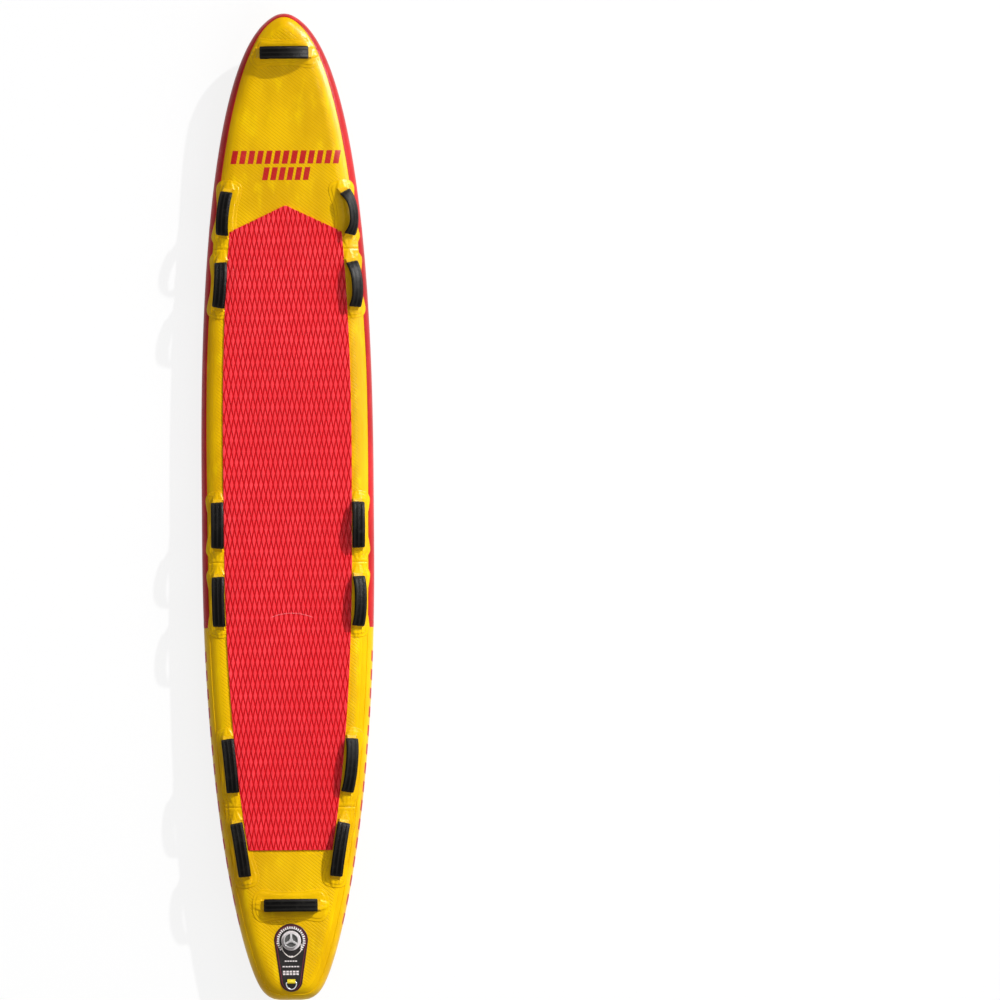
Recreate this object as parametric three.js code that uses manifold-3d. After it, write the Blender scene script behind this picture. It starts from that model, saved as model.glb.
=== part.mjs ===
// Inflatable lifeguard rescue board, 10 ft 6 in long. A drop-stitch air chamber carries welded skins,
// rail bands, a foam deck pad, fourteen webbing handles held in glued patches, a twist-cap air valve,
// two D-rings and a surface-mounted fin box.
// Millimetres. +Z is up, +Y points to the nose, +X to starboard, and the flat of the belly is at z = 0.
import * as THREE from "three";
import { mergeVertices } from "three/addons/utils/BufferGeometryUtils.js";
import Module from "manifold-3d";

const wasm = await Module();
wasm.setup();

// Whole board
const boardLength = 3200;
const boardWidth = 559;
const chamberThickness = 127;

// Rocker of the whole hull
const noseLift = 95;
const noseLiftReach = 900;
const noseLiftPower = 2.3;
const tailLift = 42;
const tailLiftReach = 1600;
const tailLiftPower = 1.35;

// Edge of the flat deck in plan, which the round rail is swept along
const noseGuideOut = 95;
const noseGuideBack = 50;
const foreShoulder = 400;
const widestAheadOfMiddle = 120;
const widestAftOfMiddle = 130;
const aftShoulder = 514;
const tailGuideHalf = 64.5;
const tailFlatHalf = 36;
const foreSteps = 12;
const aftSteps = 11;
const noseFanSteps = 2;

// Layers and what keeps them apart
const glueGap = 0.3;
const skinThickness = 1.5;
const bandThickness = 1.2;
const overrun = 6;
const sunk = 5;
const slopeStep = 1;
const roundSteps = 5;
const weldDistance = 1e-4;

// Rail angles in degrees above the middle of the rail, where rings of the hull lie
const deckSideAngles = [90, 71, 51, 26];
const sideAngles = [26, 0, -21];
const bottomSideAngles = [-21, -41, -66, -90];
const bandAngles = [51, 26, 0, -21, -41];
const bandJointAftOfMiddle = 390;

// Deck pad
const padApexFromNose = 623;
const padShoulderFromNose = 707;
const padEndFromTail = 486;
const padApexHalf = 4;
const padInsetFore = 1.5;
const padInsetAft = 12;
const padThickness = 5;
const padBevel = 2;
const padRows = 14;
const flatColumns = 2;

// Webbing handles: a flat strap, a padded grip round its middle, and feet held in glued pockets
const webbingWidth = 30;
const webbingThickness = 2.2;
const gripWidth = 40;
const gripThickness = 9.6;
const gripEndThinning = 0.2;
const tailMargin = 10;
const footLength = 18;
const archStartAngle = 8;
const archNudgeAngle = 1;
const gripSteps = 6;
const gripSectionShares = [
  [1, 0.3],
  [0.66, 1],
  [-0.66, 1],
  [-1, 0.3],
  [-1, -0.3],
  [-0.66, -1],
  [0.66, -1],
  [1, -0.3],
];

// Handle patches and the pockets on them
const patchRise = 2.8;
const webbingSeat = 0.7;
const pocketCover = 1.5;
const pocketWall = 2;
const pocketBackWall = 3;
const pocketFlare = 3.2;
const pocketShoulder = 1.8;
const patchMargin = 6;
const patchOutboard = 38.5;
const patchInboard = 40;
const patchOutlineSteps = 72;
const patchColumns = 5;
const lobeShares = [
  [-1, 0.36],
  [-0.93, 0.8],
  [-0.76, 1],
  [-0.5, 0.93],
  [-0.2, 0.8],
  [0.2, 0.8],
  [0.5, 0.93],
  [0.76, 1],
  [0.93, 0.8],
  [1, 0.36],
];
const waistShare = 0.78;
const noseHandleFromNose = 128;
const noseGripSpan = 156;
const noseGripRise = 36;
const nosePatchHalf = 114;
const nosePatchReach = 46;
const tailHandleFromTail = 307;
const tailGripSpan = 172;
const tailGripRise = 30;
const tailPatchHalf = 124;
const tailPatchReach = 50;
const endLobeShares = [
  [-1, 0.36],
  [-0.92, 0.78],
  [-0.74, 1],
  [-0.3, 0.86],
  [0.3, 0.86],
  [0.74, 1],
  [0.92, 0.78],
  [1, 0.36],
];

// Side handles, two to a twin patch, in shares of the widest gap between a patch's two lobes, the longest
// grip, the highest arch and the farthest place outside the deck's edge. Leans outboard are in degrees.
const bowWaistFromNose = 763.3;
const middleWaistAftOfMiddle = 179.8;
const sternWaistFromTail = 625.7;
const twinGap = 24.5;
const sideGripSpan = 174;
const sideGripRise = 38;
const sideHandleOutset = 15;
const twinPatches = [
  {
    name: "bow",
    gapShare: 0.633,
    handles: [
      { pair: 1, outsetShare: 1, spanShare: 0.803, riseShare: 1, portLean: 1, starboardLean: 36 },
      { pair: 2, outsetShare: 1, spanShare: 0.831, riseShare: 1, portLean: -14, starboardLean: 16 },
    ],
  },
  {
    name: "middle",
    gapShare: 0.837,
    handles: [
      { pair: 3, outsetShare: 0.767, spanShare: 0.843, riseShare: 0.947, portLean: -8, starboardLean: -5 },
      { pair: 4, outsetShare: 0.72, spanShare: 0.916, riseShare: 0.868, portLean: -4, starboardLean: 9 },
    ],
  },
  {
    name: "stern",
    gapShare: 1,
    handles: [
      { pair: 5, outsetShare: 0.567, spanShare: 0.994, riseShare: 0.816, portLean: -8, starboardLean: 9 },
      { pair: 6, outsetShare: 0.667, spanShare: 1, riseShare: 0.789, portLean: -9, starboardLean: -9 },
    ],
  },
];

// Air valve on its label patch
const valveFromTail = 193;
const labelHeadRadius = 55;
const labelFootRadius = 36.5;
const labelEndFromTail = 27;
const labelRise = 1.6;
const labelRows = 3;
const flangeRadius = 32;
const flangeThickness = 2.6;
const collarRadius = 22.6;
const collarHeight = 4.2;
const throatRadius = 15.5;
const barrelRadius = 20;
const barrelDepth = 30;
const seatRadius = 10.5;
const seatThickness = 3;
const hubRadius = 5;
const hubHeight = 5;
const hubDepth = 15;
const spokeWidth = 3;
const spokeHeight = 3;
const stemRadius = 2.2;
const stemClearance = 0.3;
const buttonRadius = 6.5;
const buttonThickness = 2.4;
const buttonTopBelowCollar = 2;
const poppetRadius = 13;
const poppetThickness = 3;
const springWireRadius = 0.55;
const springRadius = 4;
const springTurns = 5;
const springSteps = 8;
const springSides = 5;
const nutRadius = 28;
const nutThickness = 6;
const nutFlats = 12;
const sealWidth = 3;
const sealThickness = 1.6;
const capRadius = 25.4;
const capTopThickness = 6.5;
const capSkirtThickness = 2;
const capArmHalfWidth = 3.4;
const capHubRadius = 6.2;
const capRimWidth = 4.2;
const capPocketDepth = 4;
const roundSides = 24;
const tetherWidth = 3;
const tetherThickness = 1.6;
const tetherDrop = 54;
const tetherStartAngle = 205;
const tetherEndAngle = -18;
const tetherSteps = 20;
const tetherPortShares = [0.86, 0.62];
const tetherStarboardShares = [0.98, 0.6];

// D-rings, each on a webbing loop
const leashRingFromTail = 58;
const leashRingWidth = 37;
const leashRingReach = 27;
const towRingFromNose = 101;
const towRingWidth = 48;
const towRingReach = 38;
const ringWireRadius = 1.9;
const ringCorner = 3.4;
const ringBoreClearance = 0.5;
const loopThickness = 1.6;
const loopSideGap = 1.5;
const loopTab = 6;
const ringSides = 6;
const cornerSteps = 3;
const bowSteps = 9;
const towPatchRadius = 41.6;
const towPatchStepRadius = 31.6;
const towPatchRise = 1.5;
const towPatchStep = 1.2;

// Fin box under the tail
const finBoxFromTail = 448;
const finBoxLength = 406;
const finBoxWidth = 53;
const finBoxHeight = 20.5;
const finBoxEndSlope = 20;
const finBoxSideSlope = 4;
const finBoxCrown = 4;
const finFlangeMargin = 14;
const finFlangeThickness = 2;
const finSlotEndMargin = 55.5;
const finSlotWidth = 10;
const finSlotDepth = 16.5;
const finNotchLength = 14;
const finNotchWidth = 17;
const finNotchAft = 6;
const finGrooveWidth = 17;
const finGrooveHeight = 4;
const finGrooveDepth = 9;
const finPatchEndMargin = 39.5;
const finPatchSideMargin = 36.5;
const finPatchRise = 1.8;
const finPatchRows = 3;
const collarEndMargin = 26.5;
const collarSideMargin = 41.5;
const collarRise = 8;
const collarBevel = 6;

// Values that follow from the sizes above
const noseEnd = boardLength / 2;
const tailEnd = -noseEnd;
const railRadius = chamberThickness / 2;
const coreRadius = railRadius - skinThickness - glueGap;
const bandInnerRadius = railRadius + glueGap;
const bandRadius = bandInnerRadius + bandThickness;
const deckEdgeHalf = boardWidth / 2 - bandRadius;
const deckEdgeNose = noseEnd - bandRadius;
const deckEdgeTail = tailEnd + bandRadius;
const rootHeight = patchRise + webbingSeat + webbingThickness / 2;
const pocketTop = rootHeight + webbingThickness / 2 + glueGap + pocketCover;
const waistPlaces = {
  bow: fromNose(bowWaistFromNose),
  middle: -middleWaistAftOfMiddle,
  stern: fromTail(sternWaistFromTail),
};
const lobeBeyondRoot = tailMargin + footLength + pocketBackWall + patchMargin;
const finSlotLength = finBoxLength - 2 * finSlotEndMargin;
const collarLength = finBoxLength + 2 * collarEndMargin;
const collarWidth = finBoxWidth + 2 * collarSideMargin;
const finPatchLength = collarLength + 2 * finPatchEndMargin;
const finPatchWidth = collarWidth + 2 * finPatchSideMargin;
const deckFace = 1;
const bottomFace = -1;
const forward = new THREE.Vector3(0, 1, 0);
const toStarboard = new THREE.Vector3(1, 0, 0);

const radians = THREE.MathUtils.degToRad;

function fromNose(distance) {
  return noseEnd - distance;
}

function fromTail(distance) {
  return tailEnd + distance;
}

// Solids

// A closed list of triangles as a solid, turned so that its faces point out.
function solidFromTriangles(triangles) {
  const cross = new THREE.Vector3();
  const sixVolumes = triangles.reduce((sum, [a, b, c]) => sum + a.dot(cross.crossVectors(b, c)), 0);
  const facing = sixVolumes < 0 ? triangles.map(([a, b, c]) => [a, c, b]) : triangles;
  const welded = mergeVertices(new THREE.BufferGeometry().setFromPoints(facing.flat()), weldDistance);
  const corners = welded.index.array;
  const kept = [];
  for (let i = 0; i < corners.length; i += 3) {
    const [a, b, c] = corners.slice(i, i + 3);
    if (a !== b && b !== c && c !== a) kept.push(a, b, c);
  }
  const vertProperties = new Float32Array(welded.getAttribute("position").array);
  return new wasm.Manifold(
    new wasm.Mesh({ numProp: 3, vertProperties, triVerts: new Uint32Array(kept) }),
  );
}

// A three.js geometry, placed by a matrix, as a solid.
function solidFromGeometry(geometry, matrix = new THREE.Matrix4()) {
  const flat = (geometry.index ? geometry.toNonIndexed() : geometry.clone()).applyMatrix4(matrix);
  const position = flat.getAttribute("position");
  const triangles = [];
  for (let i = 0; i < position.count; i += 3) {
    triangles.push([0, 1, 2].map((k) => new THREE.Vector3().fromBufferAttribute(position, i + k)));
  }
  return solidFromTriangles(triangles);
}

function geometryFromSolid(solid) {
  const mesh = solid.getMesh();
  const geometry = new THREE.BufferGeometry();
  geometry.setAttribute("position", new THREE.BufferAttribute(mesh.vertProperties, 3));
  geometry.setIndex(new THREE.BufferAttribute(mesh.triVerts, 1));
  geometry.computeVertexNormals();
  return geometry;
}

// The faces between two rows of points, with the last point joined to the first where they go round.
function facesBetween(a, b, goesRound = true) {
  const faces = [];
  const count = goesRound ? a.length : a.length - 1;
  for (let i = 0; i < count; i++) {
    const j = (i + 1) % a.length;
    faces.push([a[i], a[j], b[j]], [a[i], b[j], b[i]]);
  }
  return faces;
}

// A solid skinned over rings of points, closed by a fan at each end.
function loft(rings) {
  const faces = rings.slice(1).flatMap((ring, i) => facesBetween(rings[i], ring));
  const first = rings[0];
  const last = rings.at(-1);
  for (let i = 1; i < first.length - 1; i++) {
    faces.push([first[0], first[i + 1], first[i]], [last[0], last[i], last[i + 1]]);
  }
  return solidFromTriangles(faces);
}

// A solid between two facing grids of points, walled round their edges.
function solidBetweenGrids(outer, inner) {
  const faces = [];
  const rows = outer.length;
  const columns = outer[0].length;
  for (let i = 0; i < rows - 1; i++) {
    faces.push(...facesBetween(outer[i], outer[i + 1], false));
    faces.push(...facesBetween(inner[i + 1], inner[i], false));
  }
  const rim = [];
  for (let j = 0; j < columns; j++) rim.push([0, j]);
  for (let i = 1; i < rows; i++) rim.push([i, columns - 1]);
  for (let j = columns - 2; j >= 0; j--) rim.push([rows - 1, j]);
  for (let i = rows - 2; i > 0; i--) rim.push([i, 0]);
  const outerRim = rim.map(([i, j]) => outer[i][j]);
  const innerRim = rim.map(([i, j]) => inner[i][j]);
  faces.push(...facesBetween(innerRim, outerRim));
  return solidFromTriangles(faces);
}

// A body turned about Z from a profile of radius and height, closed on itself or on the axis.
function turned(profile, sides = roundSides) {
  const points = profile.map(([radius, height]) => new THREE.Vector2(radius, height));
  return solidFromGeometry(new THREE.LatheGeometry(points, sides).rotateX(Math.PI / 2));
}

// A flat outline drawn in X and Y, raised from one height to another.
function raised(shape, from, to) {
  const body = new THREE.ExtrudeGeometry(shape, { depth: to - from, bevelEnabled: false });
  return solidFromGeometry(body.translate(0, 0, from));
}

function placed(solid, matrix) {
  return solidFromGeometry(geometryFromSolid(solid), matrix);
}

// Hull

function liftAt(y) {
  const foreShare = Math.max(0, (y - fromNose(noseLiftReach)) / noseLiftReach);
  const aftShare = Math.max(0, (fromTail(tailLiftReach) - y) / tailLiftReach);
  return noseLift * foreShare ** noseLiftPower + tailLift * aftShare ** tailLiftPower;
}

function foreEdgeCurve() {
  return new THREE.CubicBezierCurve(
    new THREE.Vector2(0, deckEdgeNose),
    new THREE.Vector2(noseGuideOut, deckEdgeNose - noseGuideBack),
    new THREE.Vector2(deckEdgeHalf, deckEdgeNose - foreShoulder),
    new THREE.Vector2(deckEdgeHalf, widestAheadOfMiddle),
  );
}

function aftEdgeCurve() {
  return new THREE.CubicBezierCurve(
    new THREE.Vector2(deckEdgeHalf, -widestAftOfMiddle),
    new THREE.Vector2(deckEdgeHalf, fromTail(aftShoulder)),
    new THREE.Vector2(tailGuideHalf, deckEdgeTail),
    new THREE.Vector2(tailFlatHalf, deckEdgeTail),
  );
}

// Points along a stretch of the deck edge, each with its outward direction in plan.
function stationsAlong(curve, steps) {
  return Array.from({ length: steps + 1 }, (_, i) => {
    const tangent = curve.getTangent(i / steps);
    return { edge: curve.getPoint(i / steps), out: new THREE.Vector2(-tangent.y, tangent.x) };
  });
}

// The starboard half of the deck edge from the nose to the tail, whose nose fans round one point.
function starboardStations() {
  const fore = stationsAlong(foreEdgeCurve(), foreSteps);
  const fan = Array.from({ length: noseFanSteps }, (_, i) => {
    const turn = ((1 - i / noseFanSteps) * (Math.PI / 2 - fore[0].out.angle()));
    return { edge: fore[0].edge, out: fore[0].out.clone().rotateAround(new THREE.Vector2(), turn) };
  });
  return [...fan, ...fore, ...stationsAlong(aftEdgeCurve(), aftSteps)];
}

function mirrored(station) {
  return {
    edge: new THREE.Vector2(-station.edge.x, station.edge.y),
    out: new THREE.Vector2(-station.out.x, station.out.y),
  };
}

const starboard = starboardStations();
const stations = [...starboard, ...starboard.slice(1).reverse().map(mirrored)];

function hullPoint({ edge, out }, angle, radius) {
  const reach = radius * Math.cos(radians(angle));
  const y = edge.y + out.y * reach;
  const z = railRadius + radius * Math.sin(radians(angle)) + liftAt(y);
  return new THREE.Vector3(edge.x + out.x * reach, y, z);
}

// Faces across the deck or the bottom, between the two halves of a loop of points.
function facesAcross(loop) {
  const faces = [];
  const count = loop.length;
  for (let i = 0; i < starboard.length - 1; i++) {
    const port = loop[(count - i) % count];
    const nextPort = loop[count - i - 1];
    faces.push([loop[i], loop[i + 1], nextPort], [loop[i], nextPort, port]);
  }
  return faces;
}

function turnedOver(faces) {
  return faces.map(([a, b, c]) => [a, c, b]);
}

// The rail's rings at a list of angles, one for each station.
function railRings(places, angles, radius) {
  return places.map((station) => angles.map((angle) => hullPoint(station, angle, radius)));
}

// The faces through a run of rings, which may join up with its start.
function facesThrough(rings, goesRound) {
  const faces = rings.slice(1).flatMap((ring, i) => facesBetween(rings[i], ring, false));
  return goesRound ? [...faces, ...facesBetween(rings.at(-1), rings[0], false)] : faces;
}

// Two facing sheets of rings, the inner one turned over.
function wallFaces(outer, inner, goesRound) {
  return [...facesThrough(outer, goesRound), ...turnedOver(facesThrough(inner, goesRound))];
}

// The edges between two sheets of rings, at the rings' upper and lower ends.
function upperEdgeFaces(outer, inner, goesRound) {
  return facesThrough(outer.map((ring, i) => [inner[i][0], ring[0]]), goesRound);
}

function lowerEdgeFaces(outer, inner, goesRound) {
  return facesThrough(outer.map((ring, i) => [ring.at(-1), inner[i].at(-1)]), goesRound);
}

// The whole hull out to a radius of the rail.
function hullSolid(radius) {
  const angles = [...deckSideAngles, ...sideAngles.slice(1, -1), ...bottomSideAngles];
  const rings = railRings(stations, angles, radius);
  const top = facesAcross(rings.map((ring) => ring[0]));
  const bottom = facesAcross(rings.map((ring) => ring.at(-1)));
  return solidFromTriangles([...facesThrough(rings, true), ...top, ...turnedOver(bottom)]);
}

// The deck's skin, from the middle of the deck out over the top of the rail.
function deckSkin() {
  const outer = railRings(stations, deckSideAngles, railRadius);
  const inner = railRings(stations, deckSideAngles, railRadius - skinThickness);
  const top = facesAcross(outer.map((ring) => ring[0]));
  const under = turnedOver(facesAcross(inner.map((ring) => ring[0])));
  return solidFromTriangles([
    ...wallFaces(outer, inner, true),
    ...lowerEdgeFaces(outer, inner, true),
    ...top,
    ...under,
  ]);
}

// The bottom's skin, from the middle of the bottom up round the foot of the rail.
function bottomSkin() {
  const outer = railRings(stations, bottomSideAngles, railRadius);
  const inner = railRings(stations, bottomSideAngles, railRadius - skinThickness);
  const under = turnedOver(facesAcross(outer.map((ring) => ring.at(-1))));
  const top = facesAcross(inner.map((ring) => ring.at(-1)));
  return solidFromTriangles([
    ...wallFaces(outer, inner, true),
    ...upperEdgeFaces(outer, inner, true),
    ...under,
    ...top,
  ]);
}

// The strip's angles with its two edges drawn in, or let out where the margin is negative.
function trimmed(angles, margin) {
  const step = THREE.MathUtils.radToDeg(margin / railRadius);
  return angles.map((angle, i) => {
    if (i === 0) return angle - step;
    return i === angles.length - 1 ? angle + step : angle;
  });
}

// The tape that joins the two skins round the middle of the rail.
function railLiner() {
  const angles = trimmed(sideAngles, glueGap);
  const outer = railRings(stations, angles, railRadius);
  const inner = railRings(stations, angles, railRadius - skinThickness);
  return solidFromTriangles([
    ...wallFaces(outer, inner, true),
    ...upperEdgeFaces(outer, inner, true),
    ...lowerEdgeFaces(outer, inner, true),
  ]);
}

// A ring of a strip where it is cut at a place between two stations.
function ringCutAt(rings, y) {
  const i = starboard.findIndex(({ edge }, k) => k > 0 && edge.y <= y);
  const share = (starboard[i - 1].edge.y - y) / (starboard[i - 1].edge.y - starboard[i].edge.y);
  return rings[i - 1].map((point, k) => point.clone().lerp(rings[i][k], share));
}

function mirroredRing(ring) {
  return ring.map((point) => new THREE.Vector3(-point.x, point.y, point.z));
}

// The rings of one side that belong to a band, cut at the joint, and their mirror images.
function bandRings(wrapsNose, radius, margin) {
  const rings = railRings(starboard, trimmed(bandAngles, margin), radius);
  const joint = -bandJointAftOfMiddle + (wrapsNose ? margin : -margin);
  const end = ringCutAt(rings, joint);
  const kept = rings.filter((_, i) => starboard[i].edge.y > joint === wrapsNose);
  if (wrapsNose) return [...[...kept.slice(1), end].reverse().map(mirroredRing), ...kept, end];
  return [end, ...kept, ...[end, ...kept].reverse().map(mirroredRing)];
}

// A rail band on one side of the band joint, wrapped round the nose or the tail.
function bandSolid(wrapsNose, outerRadius, innerRadius, margin) {
  const outer = bandRings(wrapsNose, outerRadius, margin);
  const inner = bandRings(wrapsNose, innerRadius, margin);
  return solidFromTriangles([
    ...wallFaces(outer, inner, false),
    ...upperEdgeFaces(outer, inner, false),
    ...lowerEdgeFaces(outer, inner, false),
    ...facesBetween(inner[0], outer[0], false),
    ...facesBetween(outer.at(-1), inner.at(-1), false),
  ]);
}

// How far a plan point lies outside the edge of the flat deck.
function beyondDeckEdge(x, y) {
  const point = new THREE.Vector3(Math.abs(x), y, 0);
  const nearest = new THREE.Vector3();
  let least = Infinity;
  let inside = false;
  const ends = [...starboard.map(({ edge }) => edge), new THREE.Vector2(0, deckEdgeTail)];
  for (let i = 1; i < ends.length; i++) {
    const a = ends[i - 1];
    const b = ends[i];
    if (a.y >= y && y > b.y && point.x <= a.x + ((a.y - y) / (a.y - b.y)) * (b.x - a.x)) inside = true;
    new THREE.Line3(new THREE.Vector3(a.x, a.y, 0), new THREE.Vector3(b.x, b.y, 0)).closestPointToPoint(
      point,
      true,
      nearest,
    );
    least = Math.min(least, nearest.distanceTo(point));
  }
  return inside ? 0 : least;
}

function surfaceZ(x, y, face, rise = 0) {
  const radius = railRadius + rise;
  const beyond = Math.min(beyondDeckEdge(x, y), radius);
  return railRadius + face * Math.sqrt(radius ** 2 - beyond ** 2) + liftAt(y);
}

// A frame on the skin: its Y runs along a given direction, and its Z stands out of the board.
function surfaceFrame(x, y, face, along) {
  const run = 2 * slopeStep;
  const slopeX = (surfaceZ(x + slopeStep, y, face) - surfaceZ(x - slopeStep, y, face)) / run;
  const slopeY = (surfaceZ(x, y + slopeStep, face) - surfaceZ(x, y - slopeStep, face)) / run;
  const normal = new THREE.Vector3(-slopeX, -slopeY, 1).normalize().multiplyScalar(face);
  const lengthwise = along.clone().addScaledVector(normal, -along.dot(normal)).normalize();
  const across = new THREE.Vector3().crossVectors(lengthwise, normal);
  return new THREE.Matrix4()
    .makeBasis(across, lengthwise, normal)
    .setPosition(x, y, surfaceZ(x, y, face));
}

// A sheet laid on the hull: rows of plan points for its outer face, and wider rows for its foot.
function sheetSolid(face, outerRows, footRows, rise) {
  const laid = (rows, height) => rows.map((row) => row.map(([x, y]) => {
    return new THREE.Vector3(x, y, surfaceZ(x, y, face, height));
  }));
  return solidBetweenGrids(laid(outerRows, rise), laid(footRows, -sunk));
}

// Evenly spaced points from one edge to the other.
function rowAcross(fromX, toX, y, columns) {
  return Array.from({ length: columns + 1 }, (_, i) => [fromX + ((toX - fromX) * i) / columns, y]);
}

// Rows of an outline along Y that is symmetrical about a line, from its half width at each place.
function rowsAlong(places, halfAt, columns, centreX = 0) {
  return places.map((y) => rowAcross(centreX - halfAt(y), centreX + halfAt(y), y, columns));
}

// Places along an outline with round ends, close together where it turns.
function roundedPlaces(foreY, foreRadius, aftY, aftRadius, steps, middle = 1) {
  const fore = Array.from({ length: steps }, (_, i) => {
    return foreY - foreRadius * (1 - Math.cos(((i / steps) * Math.PI) / 2));
  });
  const straight = Array.from({ length: middle + 1 }, (_, i) => {
    return foreY - foreRadius + ((aftY + aftRadius - foreY + foreRadius) * i) / middle;
  });
  const aft = Array.from({ length: steps }, (_, i) => {
    return aftY + aftRadius * (1 - Math.sin((((i + 1) / steps) * Math.PI) / 2));
  });
  return [...fore, ...straight, ...aft];
}

// Half width of a racetrack or a teardrop with round ends of two radii.
function roundedHalf(y, foreY, foreRadius, aftY, aftRadius) {
  const foreCentre = foreY - foreRadius;
  const aftCentre = aftY + aftRadius;
  if (y >= foreCentre) return Math.sqrt(Math.max(0, foreRadius ** 2 - (y - foreCentre) ** 2));
  if (y < aftCentre) return Math.sqrt(Math.max(0, aftRadius ** 2 - (aftCentre - y) ** 2));
  return THREE.MathUtils.mapLinear(y, aftCentre, foreCentre, aftRadius, foreRadius);
}

// Rows of a round-ended outline let out by a margin all round.
function roundedRows(limits, margin, steps, middle, columns) {
  const letOut = [limits[0] + margin, limits[1] + margin, limits[2] - margin, limits[3] + margin];
  return rowsAlong(roundedPlaces(...letOut, steps, middle), (y) => roundedHalf(y, ...letOut), columns);
}

const hullCutter = hullSolid(railRadius + glueGap)
  .add(bandSolid(true, bandRadius + glueGap, coreRadius, -glueGap))
  .add(bandSolid(false, bandRadius + glueGap, coreRadius, -glueGap));
const patchedHull = hullSolid(railRadius + patchRise);

// Deck pad

function deckEdgeHalfAt(y) {
  const i = starboard.findIndex(({ edge }, k) => k > 0 && edge.y < y);
  const a = starboard[i - 1].edge;
  const b = starboard[i].edge;
  return THREE.MathUtils.mapLinear(y, a.y, b.y, a.x, b.x);
}

function padHalfAt(y) {
  const shoulder = fromNose(padShoulderFromNose);
  const inset = THREE.MathUtils.mapLinear(y, shoulder, fromTail(padEndFromTail), padInsetFore, padInsetAft);
  if (y <= shoulder) return deckEdgeHalfAt(y) - inset;
  const apex = fromNose(padApexFromNose);
  return THREE.MathUtils.mapLinear(y, apex, shoulder, padApexHalf, deckEdgeHalfAt(shoulder) - padInsetFore);
}

// Rows of the pad's outline, its sides and ends let out by a margin.
function padOutline(margin) {
  const apex = fromNose(padApexFromNose);
  const shoulder = fromNose(padShoulderFromNose);
  const end = fromTail(padEndFromTail);
  const sides = Array.from({ length: padRows + 1 }, (_, i) => shoulder + ((end - shoulder) * i) / padRows);
  const places = [apex, (apex + shoulder) / 2, ...sides];
  return places.map((y, i) => {
    const half = padHalfAt(y) + margin;
    const shift = i < 2 ? margin : 0;
    return rowAcross(-half, half, y + (i === places.length - 1 ? -margin : shift), flatColumns);
  });
}

function deckPad() {
  const rise = padThickness + glueGap;
  return sheetSolid(deckFace, padOutline(-padBevel), padOutline(0), rise).subtract(hullCutter);
}

const padCutter = sheetSolid(deckFace, padOutline(glueGap), padOutline(glueGap), padThickness + overrun);

// Handles

// The two handles of a twin patch, each with its place, span, rise, outset and lobe's reach.
function twinHandles({ name, gapShare, handles }) {
  return handles.map((handle, i) => {
    const span = handle.spanShare * sideGripSpan;
    const lobeReach = span / 2 + lobeBeyondRoot;
    const away = (gapShare * twinGap) / 2 + lobeReach;
    return {
      ...handle,
      y: waistPlaces[name] + (i === 0 ? away : -away),
      span,
      lobeReach,
      rise: handle.riseShare * sideGripRise,
      outset: handle.outsetShare * sideHandleOutset,
    };
  });
}

// Where a side handle's line crosses its middle, and the direction that it runs in, in plan.
function sideLine({ y, span, outset }, side) {
  const fore = deckEdgeHalfAt(y + span / 2);
  const aft = deckEdgeHalfAt(y - span / 2);
  const run = new THREE.Vector2(fore - aft, span).normalize();
  const edge = new THREE.Vector2(deckEdgeHalfAt(y), y);
  const centre = edge.addScaledVector(new THREE.Vector2(run.y, -run.x), outset);
  return {
    centre: new THREE.Vector3(side * centre.x, centre.y, 0),
    along: new THREE.Vector3(side * run.x, run.y, 0),
  };
}

function endLine(y) {
  return { centre: new THREE.Vector3(0, y, 0), along: toStarboard };
}

// The frame on the skin under one root of a handle, its Y running out along the webbing's foot.
function rootFrame({ centre, along }, reach, end) {
  const outward = along.clone().multiplyScalar(end);
  const root = centre.clone().addScaledVector(outward, reach);
  return surfaceFrame(root.x, root.y, deckFace, outward);
}

// Everything that places one handle: its roots, its axis and the way it stands.
function handleLayout(line, span, rise, lean) {
  const reach = span / 2 + tailMargin;
  const aft = rootFrame(line, reach, -1);
  const fore = rootFrame(line, reach, 1);
  const seat = new THREE.Vector3(0, 0, rootHeight);
  const aftRoot = seat.clone().applyMatrix4(aft);
  const foreRoot = seat.clone().applyMatrix4(fore);
  const axis = foreRoot.clone().sub(aftRoot).normalize();
  const normal = new THREE.Vector3().setFromMatrixColumn(aft, 2);
  normal.add(new THREE.Vector3().setFromMatrixColumn(fore, 2));
  normal.addScaledVector(axis, -normal.dot(axis)).normalize();
  const across = new THREE.Vector3().crossVectors(axis, normal);
  const middle = aftRoot.clone().lerp(foreRoot, 0.5);
  return { aft, fore, aftRoot, foreRoot, axis, normal, across, middle, span, rise, lean: radians(lean) };
}

// A point of the strap's arch and the way that its face looks there.
function archPoint(layout, angle) {
  const half = layout.aftRoot.distanceTo(layout.foreRoot) / 2;
  const start = radians(archStartAngle);
  const along = (half * Math.cos(angle)) / Math.cos(start);
  const height = (layout.rise * (Math.sin(angle) - Math.sin(start))) / (1 - Math.sin(start));
  const lean = layout.lean * (1 - (along / half) ** 4);
  const away = layout.normal.clone().multiplyScalar(Math.cos(lean));
  away.addScaledVector(layout.across, Math.sin(lean));
  const centre = layout.middle.clone().addScaledVector(layout.axis, along).addScaledVector(away, height);
  return { centre, away };
}

// The angles of the arch's rings: the aft root, a step on, the grip's rings, a step on, the fore root.
function archAngles(layout) {
  const half = layout.aftRoot.distanceTo(layout.foreRoot) / 2;
  const start = radians(archStartAngle);
  const gripStart = Math.acos((layout.span / 2 / half) * Math.cos(start));
  const grip = Array.from({ length: gripSteps + 1 }, (_, i) => {
    return Math.PI - gripStart - ((Math.PI - 2 * gripStart) * i) / gripSteps;
  });
  const between = (start + gripStart) / 2;
  return { grip, tails: [Math.PI - start, Math.PI - between, ...grip, between, start] };
}

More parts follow.
